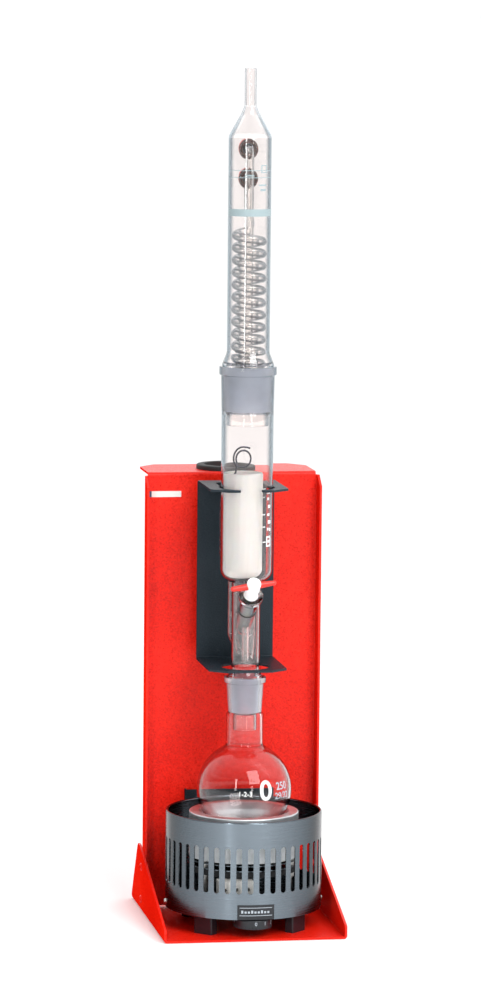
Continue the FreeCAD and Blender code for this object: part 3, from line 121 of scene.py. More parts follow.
WIRE_R = 0.8
WIRE_REACH = 14.6            # half the spring's width
WIRE_Y = -1.2
WIRE_LOW = 384.0
WIRE_TOP = 399.0             # where the spring's legs end and the loop's stem begins
WIRE_BEND = 4.6
LOOP_Z = 421.5
LOOP_HALF = (6.7, 7.5)       # half width and height of the full turn
LOOP_GROWTH = (1.9, 2.9)     # what the open outer turn adds
LOOP_DRIFT = 0.3 / 45.0      # backwards, per degree of turn
LOOP_START = -22             # degrees, as the next four values
LOOP_END = 462
LOOP_STEP = 6
LOOP_OPENS = 282.0           # where the outer turn begins to leave the full turn
LOOP_OPENING = 60.0

JACKET_R = 19.0
JACKET_INNER_R = 17.5
SHOULDER = 706.0             # top of the jacket's straight part
OUTLET_R = 5.15
OUTLET_BORE = 3.95
OUTLET_TOP = 766.6
ARM_HEIGHTS = (695.0, 669.0)
ARM_R = 6.8
ARM_BORE = 4.3
ARM_END = 35.0               # from the axis
ARM_TURN = Matrix.Rotation(math.radians(-5.0), 4, "Z")
COIL_R = 11.6
COIL_PITCH = 10.9
COIL_TURNS = 13
COIL_STEPS = 44              # points in one turn
COIL_LOW = 481.0
COIL_TOP = COIL_LOW + COIL_PITCH * COIL_TURNS
COIL_BEND = 5.0
COIL_TUBE = (4.0, 2.9)       # outer and inner radius of the glass tube
COIL_DOWN_TUBE = (3.7, 2.6)
COIL_ENTRY = 23.0            # how far back the tube starts and ends inside the arms

SHELL_R = 70.0
PLATE_HALF = 12.0            # degrees either side of the front
PLATE_STROKES = 9
STROKE_PITCH = 2.4
STROKE_WIDTH = 1.5
PRINT_LIFT = 0.02            # print above the surface that carries it
BALL_PRINT_LIFT = 0.06
KNOB_R = 16.8
KNOB_Y = -93.0
KNOB_MIDDLE = 15.2           # height of the thumbwheel's middle
KNOB_NUMERALS = 10
NUMERAL_SIZE = 4.6
NUMERAL_TURN = 30.0
NUMERAL_LIFT = 0.04
FRONT = -90.0                # degrees from +X

CORNER_STEPS = 5             # points on an outline's rounded corner
LONGEST_CUT = 0.49           # share of a side that one rounded corner may take


# ---- Node helpers ----------------------------------------------------------
class Shader:
    """A node material, with a short call for each thing that the finishes below need."""

    def __init__(self, name):
        self.mat = bpy.data.materials.new(name)
        self.mat.use_nodes = True
        self.tree = self.mat.node_tree
        self.bsdf = self.tree.nodes["Principled BSDF"]
        self.place = self.tree.nodes.new("ShaderNodeTexCoord").outputs["Object"]

    def set(self, **values):
        """Fixed values on the shader's own sockets; an underscore stands for a space."""
        for key, value in values.items():
            self.bsdf.inputs[key.replace("_", " ")].default_value = value

    def link(self, source, name):
        self.tree.links.new(source, self.bsdf.inputs[name])

    def node(self, kind, **settings):
        made = self.tree.nodes.new("ShaderNode" + kind)
        for key, value in settings.items():
            setattr(made, key, value)
        return made

    def feed(self, node, name, value):
        if isinstance(value, bpy.types.NodeSocket):
            self.tree.links.new(value, node.inputs[name])
        else:
            node.inputs[name].default_value = value

    def stretched(self, sx, sy, sz):
        """Object coordinates scaled per axis."""
        mapping = self.node("Mapping")
        self.feed(mapping, "Vector", self.place)
        mapping.inputs["Scale"].default_value = (sx, sy, sz)
        return mapping.outputs["Vector"]

    def noise(self, scale, detail=2.0, roughness=0.5, vector=None):
        tex = self.node("TexNoise")
        self.feed(tex, "Vector", vector or self.place)
        self.feed(tex, "Scale", scale)
        self.feed(tex, "Detail", detail)
        self.feed(tex, "Roughness", roughness)
        return tex.outputs["Fac"]

    def cells(self, scale):
        """Distance to the nearest of many scattered points, smoothed."""
        tex = self.node("TexVoronoi", feature="SMOOTH_F1")
        self.feed(tex, "Vector", self.place)
        self.feed(tex, "Scale", scale)
        return tex.outputs["Distance"]

    def remap(self, value, low, high, to_low, to_high):
        made = self.node("MapRange")
        self.feed(made, "Value", value)
        for name, number in zip(("From Min", "From Max", "To Min", "To Max"), (low, high, to_low, to_high)):
            made.inputs[name].default_value = number
        return made.outputs["Result"]

    def math(self, operation, a, b=0.0):
        made = self.node("Math", operation=operation)
        self.feed(made, 0, a)
        self.feed(made, 1, b)
        return made.outputs[0]

    def ramp(self, value, *stops):
        made = self.node("ValToRGB")
        self.feed(made, "Fac", value)
        elements = made.color_ramp.elements
        while len(elements) < len(stops):
            elements.new(0.5)
        for element, (at, colour) in zip(elements, stops):
            element.position = at
            element.color = (*colour, 1.0)
        return made.outputs["Color"]

    def bump(self, height, strength, distance, normal=None):
        made = self.node("Bump")
        made.inputs["Strength"].default_value = strength
        made.inputs["Distance"].default_value = distance
        self.feed(made, "Height", height)
        if normal is not None:
            self.feed(made, "Normal", normal)
        return made.outputs["Normal"]

    def facing(self):
        """0 where a surface faces the viewer, 1 where it is seen edge-on."""
        made = self.node("LayerWeight")
        made.inputs["Blend"].default_value = 0.5
        return made.outputs["Facing"]

    def radius_from(self, x, y):
        """Distance from an upright line, in metres."""
        split = self.node("SeparateXYZ")
        self.feed(split, 0, self.place)
        dx = self.math("SUBTRACT", split.outputs[0], x)
        dy = self.math("SUBTRACT", split.outputs[1], y)
        squares = self.math("ADD", self.math("MULTIPLY", dx, dx), self.math("MULTIPLY", dy, dy))
        return self.math("SQRT", squares)


def textured_paint(name, dark, mid, light, grain, rough):
    """Powder coat: an orange-peel surface with fine bright points.

    The gloss fades on upright faces seen at a glance and stays on faces that look up.
    """
    s = Shader(name)
    peel = s.noise(grain, 3.0, 0.6)
    points = s.cells(grain * 1.3)
    cloud = s.noise(9.0, 3.0)
    mixed = s.math("ADD", s.math("MULTIPLY", peel, 0.6), s.math("MULTIPLY", cloud, 0.4))
    s.link(s.ramp(mixed, (0.36, dark), (0.5, mid), (0.68, light)), "Base Color")
    s.link(s.remap(peel, 0.3, 0.7, rough - 0.1, rough + 0.12), "Roughness")
    fine = s.bump(points, 0.3, 0.0003)
    s.link(s.bump(peel, 0.6, 0.0004, fine), "Normal")
    normal = s.node("SeparateXYZ")
    s.feed(normal, 0, s.node("NewGeometry").outputs["Normal"])
    upright_gloss = s.remap(s.facing(), 0.45, 0.85, 0.22, 0.0)
    level_gloss = s.remap(normal.outputs[2], 0.5, 0.9, 0.0, 0.2)
    s.link(s.math("MAXIMUM", upright_gloss, level_gloss), "Specular IOR Level")
    return s.mat


def brushed(name, colour, direction, rough, spread=0.0, painted_flank_shade=1.0):
    """Brushed metal.

    Direction is the noise scale along x, y and z, spread is the upright smear of highlights, and
    painted_flank_shade is painted shade: the share of its colour that the metal keeps where it is seen
    edge-on.
    """
    s = Shader(name)
    lines = s.noise(1.0, 4.0, 0.65, s.stretched(*direction))
    smear = s.noise(22.0, 3.0)
    low = tuple(c * 0.8 for c in colour)
    colour_with_painted_shade = s.node("VectorMath", operation="MULTIPLY")
    s.feed(colour_with_painted_shade, 0, s.ramp(lines, (0.3, low), (0.7, colour)))
    # Painted shade: the colour is darkened where the surface is seen edge-on, down to painted_flank_shade.
    s.feed(colour_with_painted_shade, 1, s.ramp(s.facing(), (0.05, (1.0, 1.0, 1.0)), (0.62, (painted_flank_shade, painted_flank_shade, painted_flank_shade))))
    s.link(colour_with_painted_shade.outputs["Vector"], "Base Color")
    both = s.math("ADD", s.math("MULTIPLY", lines, 0.65), s.math("MULTIPLY", smear, 0.35))
    s.link(s.remap(both, 0.3, 0.7, rough - 0.06, rough + 0.12), "Roughness")
    s.link(s.bump(lines, 0.25, 0.00006), "Normal")
    tangent = s.node("Tangent", direction_type="RADIAL", axis="Z")
    s.link(tangent.outputs["Tangent"], "Tangent")
    s.set(Metallic=1.0, Anisotropic=spread, Anisotropic_Rotation=0.25)
    return s.mat


def turned_metal(name, colour, rough):
    """Metal with fine turning rings around the glassware axis."""
    s = Shader(name)
    radius = s.radius_from(AXIS.x, AXIS.y)
    vector = s.node("CombineXYZ")
    s.feed(vector, 0, s.math("MULTIPLY", radius, 2600.0))
    rings = s.noise(1.0, 3.0, 0.6, vector.outputs[0])
    stain = s.noise(60.0, 4.0, 0.6)
    low = tuple(c * 0.72 for c in colour)
    s.link(s.ramp(stain, (0.3, low), (0.65, colour)), "Base Color")
    s.link(s.remap(rings, 0.3, 0.7, rough - 0.08, rough + 0.12), "Roughness")
    s.link(s.bump(rings, 0.35, 0.00008), "Normal")
    s.set(Metallic=1.0)
    return s.mat


def moulded(name, colour, rough, grain=1400.0, depth=0.00005, vary=0.15, **extra):
    """Moulded plastic, rubber or ceramic: soft mottling with a fine grain."""
    s = Shader(name)
    grainy = s.noise(grain, 3.0, 0.6)
    cloud = s.noise(70.0, 2.0)
    low = tuple(c * (1.0 - vary) for c in colour)
    high = tuple(min(1.0, c * (1.0 + vary)) for c in colour)
    s.link(s.ramp(cloud, (0.3, low), (0.7, high)), "Base Color")
    s.link(s.remap(grainy, 0.3, 0.7, rough - 0.06, rough + 0.1), "Roughness")
    s.link(s.bump(grainy, 0.4, depth), "Normal")
    s.set(**extra)
    return s.mat


GLASS_IOR = 1.472


def clear_glass(name, edge, face=(0.97, 0.935, 0.925), start=0.36, ior=GLASS_IOR):
    """Borosilicate glass, tinted from face to edge colour over a band that begins at start. The dark edge
    colour is painted shade: it stands in for the darker surroundings seen in the glass near its outline.
    """
    s = Shader(name)
    # Painted shade: the glass colour darkens where it is seen edge-on.
    s.link(s.ramp(s.facing(), (start, face), (start + 0.28, edge)), "Base Color")
    s.set(Transmission_Weight=1.0, Roughness=0.0, IOR=ior, Specular_IOR_Level=0.16)
    wave = s.noise(40.0, 1.0)
    s.link(s.bump(wave, 0.06, 0.0006), "Normal")
    return s.mat


def ground_glass(name, colour):
    """Ground joint surface: dense fine matting that scatters what is behind it."""
    s = Shader(name)
    matting = s.noise(2600.0, 3.0, 0.7)
    cloud = s.noise(90.0, 2.0)
    low = tuple(c * 0.88 for c in colour)
    s.link(s.ramp(cloud, (0.3, low), (0.7, colour)), "Base Color")
    s.link(s.remap(matting, 0.3, 0.7, 0.42, 0.6), "Roughness")
    s.link(s.bump(matting, 0.5, 0.00006), "Normal")
    s.set(Transmission_Weight=0.72, IOR=GLASS_IOR)
    return s.mat


def enamel(name, colour):
    """Fired print on glass, slightly uneven."""
    s = Shader(name)
    speck = s.noise(1800.0, 3.0, 0.7)
    low = tuple(c * 0.85 for c in colour)
    s.link(s.ramp(speck, (0.3, low), (0.6, colour)), "Base Color")
    s.link(s.bump(speck, 0.3, 0.00004), "Normal")
    s.set(Roughness=0.55)
    return s.mat


def fibre(name):
    """Pressed cellulose: matt, with short matted fibres and faint upright wrinkles."""
    s = Shader(name)
    felt = s.noise(950.0, 5.0, 0.7)
    strands = s.noise(1.0, 4.0, 0.65, s.stretched(900.0, 900.0, 160.0))
    cloud = s.noise(45.0, 2.0)
    s.link(s.ramp(cloud, (0.3, (0.95, 0.96, 0.91)), (0.7, (0.99, 0.99, 0.95))), "Base Color")
    height = s.math("ADD", s.math("MULTIPLY", felt, 0.5), s.math("MULTIPLY", strands, 0.5))
    s.link(s.bump(height, 0.6, 0.0004), "Normal")
    s.set(Roughness=0.92, Subsurface_Weight=0.15, Subsurface_Scale=0.002, Specular_IOR_Level=0.2)
    return s.mat


def sticker(name):
    """Blank label: white with a dark blue end."""
    s = Shader(name)
    split = s.node("SeparateXYZ")
    s.feed(split, 0, s.place)
    low, high = (corner.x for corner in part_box("label_plate"))
    share = s.remap(split.outputs[0], low, high, 0.0, 1.0)
    ramp = s.node("ValToRGB")
    ramp.color_ramp.interpolation = "CONSTANT"
    s.feed(ramp, "Fac", share)
    ramp.color_ramp.elements[0].color = (0.02, 0.05, 0.12, 1.0)
    ramp.color_ramp.elements[1].position = 0.09
    ramp.color_ramp.elements[1].color = (0.80, 0.80, 0.76, 1.0)
    s.link(ramp.outputs["Color"], "Base Color")
    s.link(s.bump(s.noise(900.0, 2.0), 0.2, 0.00004), "Normal")
    s.set(Roughness=0.4)
    return s.mat


MATS = {
    "red_paint": textured_paint(
        "red_powder_coat", (0.62, 0.007, 0.002), (0.80, 0.011, 0.003), (0.94, 0.030, 0.010), 620.0, 0.34
    ),
    "black_paint": textured_paint(
        "slate_powder_coat", (0.008, 0.014, 0.020), (0.014, 0.023, 0.031), (0.026, 0.038, 0.048), 900.0, 0.42
    ),
    # Painted shade: the stainless colour is set far darker than bare steel to stand in for the dark
    # surroundings it reflects, and its flanks keep only 0.16 of it.
    "stainless": brushed("brushed_stainless", (0.21, 0.25, 0.285), (26.0, 26.0, 1900.0), 0.22, 0.72, 0.16),
    "zinc_steel": brushed("zinc_plated_steel", (0.58, 0.58, 0.56), (500.0, 500.0, 500.0), 0.30),
    "aluminium": turned_metal("cast_aluminium", (0.72, 0.76, 0.78), 0.42),
    "insulation": moulded("insulating_board", (0.018, 0.019, 0.021), 0.85, 700.0, 0.0002),
    "black_plastic": moulded("black_plastic", (0.010, 0.012, 0.016), 0.38),
    "red_plastic": moulded("red_plastic", (0.66, 0.022, 0.012), 0.30, 1100.0, 0.00004, 0.1),
    "rubber": moulded("black_rubber", (0.012, 0.013, 0.014), 0.62, 1200.0, 0.00008),
    "ceramic": moulded("glazed_ceramic", (0.82, 0.81, 0.77), 0.30, 600.0, 0.00004, 0.05),
    "label": sticker("blank_label"),
    # The borosilicate's second colour is painted shade at the glass's edges.
    "clear_glass": clear_glass("borosilicate", (0.10, 0.17, 0.22)),
    "ptfe": moulded("ptfe", (0.86, 0.87, 0.86), 0.42, 500.0, 0.00005, 0.03, Subsurface_Weight=0.2,
                    Subsurface_Scale=0.001),
    "cellulose": fibre("cellulose"),
    "silicone": moulded("silicone", (0.60, 0.30, 0.24), 0.5, 500.0, 0.00004, 0.08),
}
# The second colour of these glasses is painted shade at their edges.
FLASK_GLASS = clear_glass("borosilicate_flask", (0.20, 0.26, 0.30), (0.97, 0.95, 0.95), 0.55, 1.28)
COIL_GLASS = clear_glass("borosilicate_coil", (0.10, 0.14, 0.17), (0.95, 0.94, 0.93), 0.26)
GROUND = ground_glass("ground_glass", (0.72, 0.78, 0.88))
WIRE = brushed("dark_wire", (0.055, 0.055, 0.075), (300.0, 300.0, 300.0), 0.25)
ENAMEL = enamel("white_enamel", (0.80, 0.82, 0.82))
PALE_PRINT = enamel("pale_print", (0.30, 0.38, 0.40))
WHITE_PRINT = enamel("white_print", (0.42, 0.47, 0.52))

# Every CAD piece gets the material of its slot.
for part in frame["record"]["subparts"]:
    mesh = nodes[part["node"]].data
    mesh.materials.clear()
    mesh.materials.append(MATS[part["material_slot"]])


# ---- Shape helpers ---------------------------------------------------------
def arc(r, z, radius, start, end, steps):
    """Outline points on an arc, angles in degrees from the outward direction."""
    points = []
    for i in range(steps + 1):
        a = math.radians(start + (end - start) * i / steps)
        points.append((r + radius * math.cos(a), z + radius * math.sin(a)))
    return points


def rounded(before, corner, after, radius, steps):
    """Points on a smooth curve that cuts a corner; the three places are vectors."""
    a = before - corner
    b = after - corner
    half = a.angle(b) / 2
    reach = min(radius / math.tan(half), LONGEST_CUT * a.length, LONGEST_CUT * b.length)
    start = corner + a.normalized() * reach
    end = corner + b.normalized() * reach
    points = []
    for k in range(steps + 1):
        t = k / steps
        points.append(start * (1 - t) ** 2 + corner * (2 * t * (1 - t)) + end * t * t)
    return points


def softened(points, closed):
    """Round an outline's corners: a point is (r, z), or (r, z, radius) where it is rounded."""
    count = len(points)
    out = []
    for i, item in enumerate(points):
        corner = Vector(item[:2])
        radius = item[2] if len(item) > 2 else 0.0
        if radius == 0.0 or (not closed and i in (0, count - 1)):
            out.append((corner.x, corner.y))
            continue
        before = Vector(points[i - 1][:2])
        after = Vector(points[(i + 1) % count][:2])
        out += [(q.x, q.y) for q in rounded(before, corner, after, radius, CORNER_STEPS)]
    return out


def bent(points, radius, steps=8):
    """A route of straight runs with rounded corners."""
    pts = [Vector(p) for p in points]
    out = [pts[0]]
    for before, corner, after in zip(pts, pts[1:], pts[2:]):
        out += rounded(before, corner, after, radius, steps)
    out.append(pts[-1])
    return out


def add_object(name, mesh, materials, body, replaced=()):
    """A piece that rides on a body and may stand in for CAD nodes."""
    obj = bpy.data.objects.new(name, mesh)
    scene.collection.objects.link(obj)
    for material in materials:
        mesh.materials.append(material)
    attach(obj, body)
    if replaced:
        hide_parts(*replaced)
    return obj


def smooth(mesh, angle=35.0):
    mesh.shade_smooth()
    mesh.set_sharp_from_angle(angle=math.radians(angle))


def lathe_mesh(name, outline, closed, segments=128, matrix=None, frosted=None):
    """Spin an (r, z) outline in mm about Z; frosted(r0, z0, r1, z1) picks faces for slot 1."""
    bm = bmesh.new()
    rings = []
    for r, z in outline:
        if r < 1e-6:
            rings.append([bm.verts.new((0.0, 0.0, z * MM))])
            continue
        ring = []
        for k in range(segments):
            a = 2 * math.pi * k / segments
            ring.append(bm.verts.new((r * MM * math.cos(a), r * MM * math.sin(a), z * MM)))
        rings.append(ring)
    spans = list(zip(range(len(rings)), range(1, len(rings))))
    if closed:
        spans.append((len(rings) - 1, 0))
    for i, j in spans:
        low, high = rings[i], rings[j]
        mark = 1 if frosted and frosted(*outline[i], *outline[j]) else 0
        for k in range(segments):
            n = (k + 1) % segments
            if len(low) == 1 and len(high) == 1:
                continue
            if len(low) == 1:
                face = bm.faces.new((low[0], high[n], high[k]))
            elif len(high) == 1:
                face = bm.faces.new((low[k], low[n], high[0]))
            else:
                face = bm.faces.new((low[k], low[n], high[n], high[k]))
            face.material_index = mark
    bmesh.ops.recalc_face_normals(bm, faces=bm.faces)
    mesh = bpy.data.meshes.new(name)
    bm.to_mesh(mesh)
    bm.free()
    mesh.transform(matrix or Matrix.Translation(AXIS))
    smooth(mesh)
    return mesh


def frames_along(points):
    """Points with two unit vectors across the path, carried along without twist."""
    pts = [Vector(p) for p in points]
    tangents = []
    for i in range(len(pts)):
        a = pts[max(i - 1, 0)]
        b = pts[min(i + 1, len(pts) - 1)]
        tangents.append((b - a).normalized())
    side = tangents[0].orthogonal().normalized()
    out = []
    for p, t in zip(pts, tangents):
        side = (side - t * side.dot(t)).normalized()
        out.append((p, side, t.cross(side)))
    return out


def tube_mesh(name, points, radius, bore=0.0, sides=20, matrix=None):
    """A round tube along points in mm, hollow if bore is given."""
    bm = bmesh.new()
    path = frames_along(points)

    def skin(r):
        rings = []
        for p, u, v in path:
            ring = []
            for k in range(sides):
                a = 2 * math.pi * k / sides
                ring.append(bm.verts.new((p + (u * math.cos(a) + v * math.sin(a)) * r) * MM))
            rings.append(ring)
        for low, high in zip(rings, rings[1:]):
            for k in range(sides):
                n = (k + 1) % sides
                bm.faces.new((low[k], low[n], high[n], high[k]))
        return rings

    outer = skin(radius)
    if bore > 0.0:
        inner = skin(bore)
        for end in (0, -1):
            for k in range(sides):
                n = (k + 1) % sides
                bm.faces.new((outer[end][k], outer[end][n], inner[end][n], inner[end][k]))
    else:
        for end in (0, -1):
            bm.faces.new(outer[end])
    bmesh.ops.recalc_face_normals(bm, faces=bm.faces)
    mesh = bpy.data.meshes.new(name)
    bm.to_mesh(mesh)
    bm.free()
    mesh.transform(matrix or Matrix.Translation(AXIS))
    smooth(mesh, 50.0)
    return mesh


def join(name, meshes):
    """One mesh from several, keeping material slots by number."""
    bm = bmesh.new()
    for mesh in meshes:
        bm.from_mesh(mesh)
    made = bpy.data.meshes.new(name)
    bm.to_mesh(made)
    bm.free()
    smooth(made)
    return made


def on_cylinder(patches, radius, thickness=0.06):
    """Thin raised print on an upright cylinder around the axis.

    A patch is its first and last angle, in degrees from +X, and its low and high z.
    """
    bm = bmesh.new()
    for low_a, high_a, low_z, high_z in patches:
        steps = max(1, int(abs(high_a - low_a) / 3.0))
        rows = []
        for i in range(steps + 1):
            a = math.radians(low_a + (high_a - low_a) * i / steps)
            column = []
            for r in (radius, radius + thickness):
                for z in (low_z, high_z):
                    place = (r * math.cos(a) * MM, (AXIS_Y + r * math.sin(a)) * MM, z * MM)
                    column.append(bm.verts.new(place))
            rows.append(column)
        for p, q in zip(rows, rows[1:]):
            bm.faces.new((p[0], q[0], q[1], p[1]))
            bm.faces.new((p[2], p[3], q[3], q[2]))
            bm.faces.new((p[0], p[2], q[2], q[0]))
            bm.faces.new((p[1], q[1], q[3], p[3]))
        for column in (rows[0], rows[-1]):
            bm.faces.new((column[0], column[1], column[3], column[2]))
    bmesh.ops.recalc_face_normals(bm, faces=bm.faces)
    mesh = bpy.data.meshes.new("print")
    bm.to_mesh(mesh)
    bm.free()
    smooth(mesh)
    return mesh


def text_mesh(text, size, **settings):
    """Lettering as a mesh in its own XY plane, centred on the origin, in millimetres."""
    curve = bpy.data.curves.new("lettering", "FONT")
    curve.body = text
    curve.size = size
    curve.align_x = "CENTER"
    curve.align_y = "CENTER"
    for key, value in settings.items():
        setattr(curve, key, value)
    probe = bpy.data.objects.new("lettering", curve)
    scene.collection.objects.link(probe)
    bpy.context.view_layer.update()
    made = bpy.data.meshes.new_from_object(probe.evaluated_get(bpy.context.evaluated_depsgraph_get()))
    bpy.data.objects.remove(probe)
    return made


# ---- Flask -----------------------------------------------------------------
def in_flask_socket(r0, z0, r1, z1):
    """The ground taper inside the flask's mouth."""
    inside = min(z0, z1) > NS29_LOW - 0.5 and max(z0, z1) < NS29_TOP + 0.1
    return inside and max(r0, r1) < 15.0 and abs(z1 - z0) > 20.0


def flask_mesh():
    join_angle = math.degrees(math.acos((NECK_R + 3.2) / FLASK_R))
    outer = arc(0.0, FLASK_Z, FLASK_R, -90.0, join_angle, 48)
    outer[0] = (0.0, FLASK_Z - FLASK_R)
    join_r, join_z = outer[-1]
    neck = softened([
        (join_r, join_z), (NECK_R, join_z + 2.6, 3.0), (NECK_R, NS29_LOW - 2.0, 1.5),
        (15.0, NS29_LOW + 0.4, 1.2), (16.65, NS29_TOP - 6.0, 0.6), (BEAD_R, NS29_TOP - 4.6, 0.7),
        (BEAD_R, NS29_TOP, 0.8), (14.75, NS29_TOP, 0.5), (13.15, NS29_LOW), (14.4, NS29_LOW - 3.5, 1.0),
        (14.8, 165.8, 3.0), THROAT], closed=False)
    inner_r = FLASK_R - FLASK_WALL
    start = math.degrees(math.acos(THROAT[0] / inner_r))
    inner = arc(0.0, FLASK_Z, inner_r, start, -90.0, 48)
    inner[-1] = (0.0, FLASK_Z - inner_r)
    outline = outer + neck[1:-1] + inner
    return lathe_mesh("flask_glass", outline, False, 144, frosted=in_flask_socket)


add_object("flask_glass", flask_mesh(), [FLASK_GLASS, GROUND], "flask", ("flask",))


def ball_print(name, text, size, azimuth, elevation):
    """Generic print laid on the flask's bulb; azimuth in degrees from the front towards +X."""
    bm = bmesh.new()
    bm.from_mesh(text_mesh(text, size, offset=size * 0.02))
    bmesh.ops.triangulate(bm, faces=bm.faces)
    for _ in range(3):
        long_edges = [e for e in bm.edges if e.calc_length() > 1.2]
        if not long_edges:
            break
        bmesh.ops.subdivide_edges(bm, edges=long_edges, cuts=1)
        bmesh.ops.triangulate(bm, faces=bm.faces)
    r = FLASK_R + BALL_PRINT_LIFT
    for v in bm.verts:
        a = math.radians(azimuth) + v.co.x / r
        e = math.radians(elevation) + v.co.y / r
        level = r * math.cos(e)
        place = Vector((level * math.sin(a), -level * math.cos(a), FLASK_Z + r * math.sin(e)))
        v.co = place * MM + AXIS
    bmesh.ops.recalc_face_normals(bm, faces=bm.faces)
    mesh = bpy.data.meshes.new(name)
    bm.to_mesh(mesh)
    bm.free()
    return mesh


# Name, text, size, azimuth, elevation and material of each mark.
FLASK_MARKS = [
    ("flask_volume_mark", "0", 25.0, 18.0, 5.5, ENAMEL),
    ("flask_scale_mark", "250", 9.5, 43.0, 10.0, WHITE_PRINT),
    ("flask_lower_mark", "29/32", 8.0, 43.0, -1.5, WHITE_PRINT),
    ("flask_batch_mark", "1-2-3", 6.0, -8.0, 3.0, ENAMEL),
]
for name, text, size, azimuth, elevation, material in FLASK_MARKS:
    add_object(name, ball_print(name, text, size, azimuth, elevation), [material], "flask")


# ---- Extractor -------------------------------------------------------------
def in_extractor_joints(r0, z0, r1, z1):
    """The ground tapers inside the upper socket and around the lower cone."""
    if abs(z1 - z0) <= 25.0:
        return False
    socket = z0 > NS45_LOW - 4.0 and max(r0, r1) < 22.7
    cone = max(z0, z1) < NS29_TOP + 0.1 and min(r0, r1) > 12.9 and max(r0, r1) < 14.7
    return socket or cone


def extractor_mesh():
    """Socket, chamber, stem and cone with its drip tip, as one hollow glass."""
    corner_r = CHAMBER_R - CHAMBER_CORNER
    corner_z = CHAMBER_LOW + CHAMBER_CORNER
    inner_r = CHAMBER_R - CHAMBER_WALL
    corner = arc(corner_r, corner_z, CHAMBER_CORNER, 0.0, -90.0, 14)
    to_stem = [p for p in corner if p[0] > STEM_R]
    outline = [(0.0, CHAMBER_LOW + CHAMBER_WALL)]
    outline += arc(corner_r, corner_z, CHAMBER_CORNER - CHAMBER_WALL, -90.0, 0.0, 14)
    outline += softened([
        (inner_r, corner_z), (inner_r, NS45_LOW - 3.0, 2.0), (20.65, NS45_LOW, 0.6),
        (22.65, NS45_TOP, 0.5), (SOCKET_BEAD_R, NS45_TOP, 0.9), (SOCKET_BEAD_R, NS45_TOP - 7.2, 0.9),
        (23.9, NS45_TOP - 8.4, 0.8), (CHAMBER_R, NS45_LOW - 2.0, 3.0), (CHAMBER_R, corner_z)
    ], closed=False)[1:-1]
    outline += to_stem
    outline += softened([
        to_stem[-1], (STEM_R, CHAMBER_LOW + 0.6, 1.2), (STEM_R, NS29_TOP + 6.0, 2.0),
        (15.0, NS29_TOP + 1.5, 1.5), (14.6, NS29_TOP, 0.4), (13.0, NS29_LOW, 0.5),
        (TIP_R, NS29_LOW - 2.5, 1.2), (TIP_R, TIP_Z, 0.6), (TIP_BORE, TIP_Z, 0.6),
        (TIP_BORE, NS29_LOW + 1.0, 2.0), (STEM_BORE, NS29_LOW + 8.0, 2.0), (STEM_BORE, CHAMBER_LOW, 1.0),
        (0.0, CHAMBER_LOW)], closed=False)[1:]
    return lathe_mesh("extractor_glass", outline, False, 128, frosted=in_extractor_joints)


TAP_FRAME = (Matrix.Translation(AXIS + Vector((0.0, 0.0, TAP_Z * MM)))
             @ Matrix.Rotation(math.radians(90.0 - TAP_TILT), 4, "X"))


def cut_hole(obj, radius, low, high, frame_matrix):
    """Cut a round hole through a piece, as where the stopcock's barrel crosses the stem."""
    outline = [(0.0, low), (radius, low), (radius, high), (0.0, high)]
    tool = bpy.data.objects.new("hole_tool", lathe_mesh("hole_tool", outline, False, 64, frame_matrix))
    scene.collection.objects.link(tool)
    modifier = obj.modifiers.new("hole", "BOOLEAN")
    modifier.operation = "DIFFERENCE"
    modifier.solver = "EXACT"
    modifier.object = tool
    bpy.context.view_layer.update()
    graph = bpy.context.evaluated_depsgraph_get()
    made = bpy.data.meshes.new_from_object(obj.evaluated_get(graph))
    obj.modifiers.clear()
    smooth(made)
    obj.data = made
    bpy.data.objects.remove(tool)


extractor = add_object(
    "extractor_glass", extractor_mesh(), [MATS["clear_glass"], GROUND], "extractor",
    ("extractor_body",))
cut_hole(extractor, BARREL_HOLE_R, BARREL_LOW, BARREL_HOLE_END, TAP_FRAME)


def at_ring(radius, turn, z):
    """A point around the axis; turn in degrees from straight back, positive towards -X."""
    a = math.radians(turn)
    return (-radius * math.sin(a), radius * math.cos(a), z)


def vapour_mesh():
    """From the stem out and up, and back into the chamber's top."""
    route = bent([
        at_ring(11.8, VAPOUR_TURN, 238.0), at_ring(VAPOUR_OUT, VAPOUR_TURN, 257.8),
        at_ring(VAPOUR_OUT, VAPOUR_TURN, VAPOUR_TOP), at_ring(22.2, VAPOUR_TURN, VAPOUR_TOP + 9.3)
    ], VAPOUR_BEND, 12)
    return tube_mesh("vapour_glass", route, VAPOUR_R, VAPOUR_BORE, 32)


def siphon_mesh():
    """From the chamber's foot up, over, and down into the stem."""
    route = bent([
        at_ring(22.0, SIPHON_RISE, 326.6), at_ring(SIPHON_OUT, SIPHON_RISE, 331.0),
        at_ring(SIPHON_OUT, SIPHON_RISE, SIPHON_TOP), at_ring(SIPHON_OUT, SIPHON_FALL, SIPHON_TOP),
        at_ring(SIPHON_OUT, SIPHON_FALL, 260.0), at_ring(11.9, SIPHON_FALL, 245.5)
    ], SIPHON_BEND, 10)
    return tube_mesh("siphon_glass", route, SIPHON_R, SIPHON_BORE, 24)


def drain_mesh():
    """The chamber's drain, interrupted by the stopcock."""
    parts = [tube_mesh("drain", [(0, 0, z) for z in run], DRAIN_R, DRAIN_BORE, 24) for run in DRAIN_RUNS]
    return join("drain_glass", parts)


def barrel_mesh():
    outline = softened([
        (5.1, BARREL_LOW, 0.4), (BARREL_R - 1.2, BARREL_LOW, 1.2), (BARREL_R, BARREL_LOW + 4.0, 2.0),
        (BARREL_R, BARREL_MOUTH - 10.0, 3.0), (BARREL_FLARE_R, BARREL_MOUTH - 4.0, 1.5),
        (BARREL_FLARE_R, BARREL_MOUTH, 0.9), (6.5, BARREL_MOUTH, 0.6)], closed=True)
    return lathe_mesh("barrel_glass", outline, True, 96, TAP_FRAME)


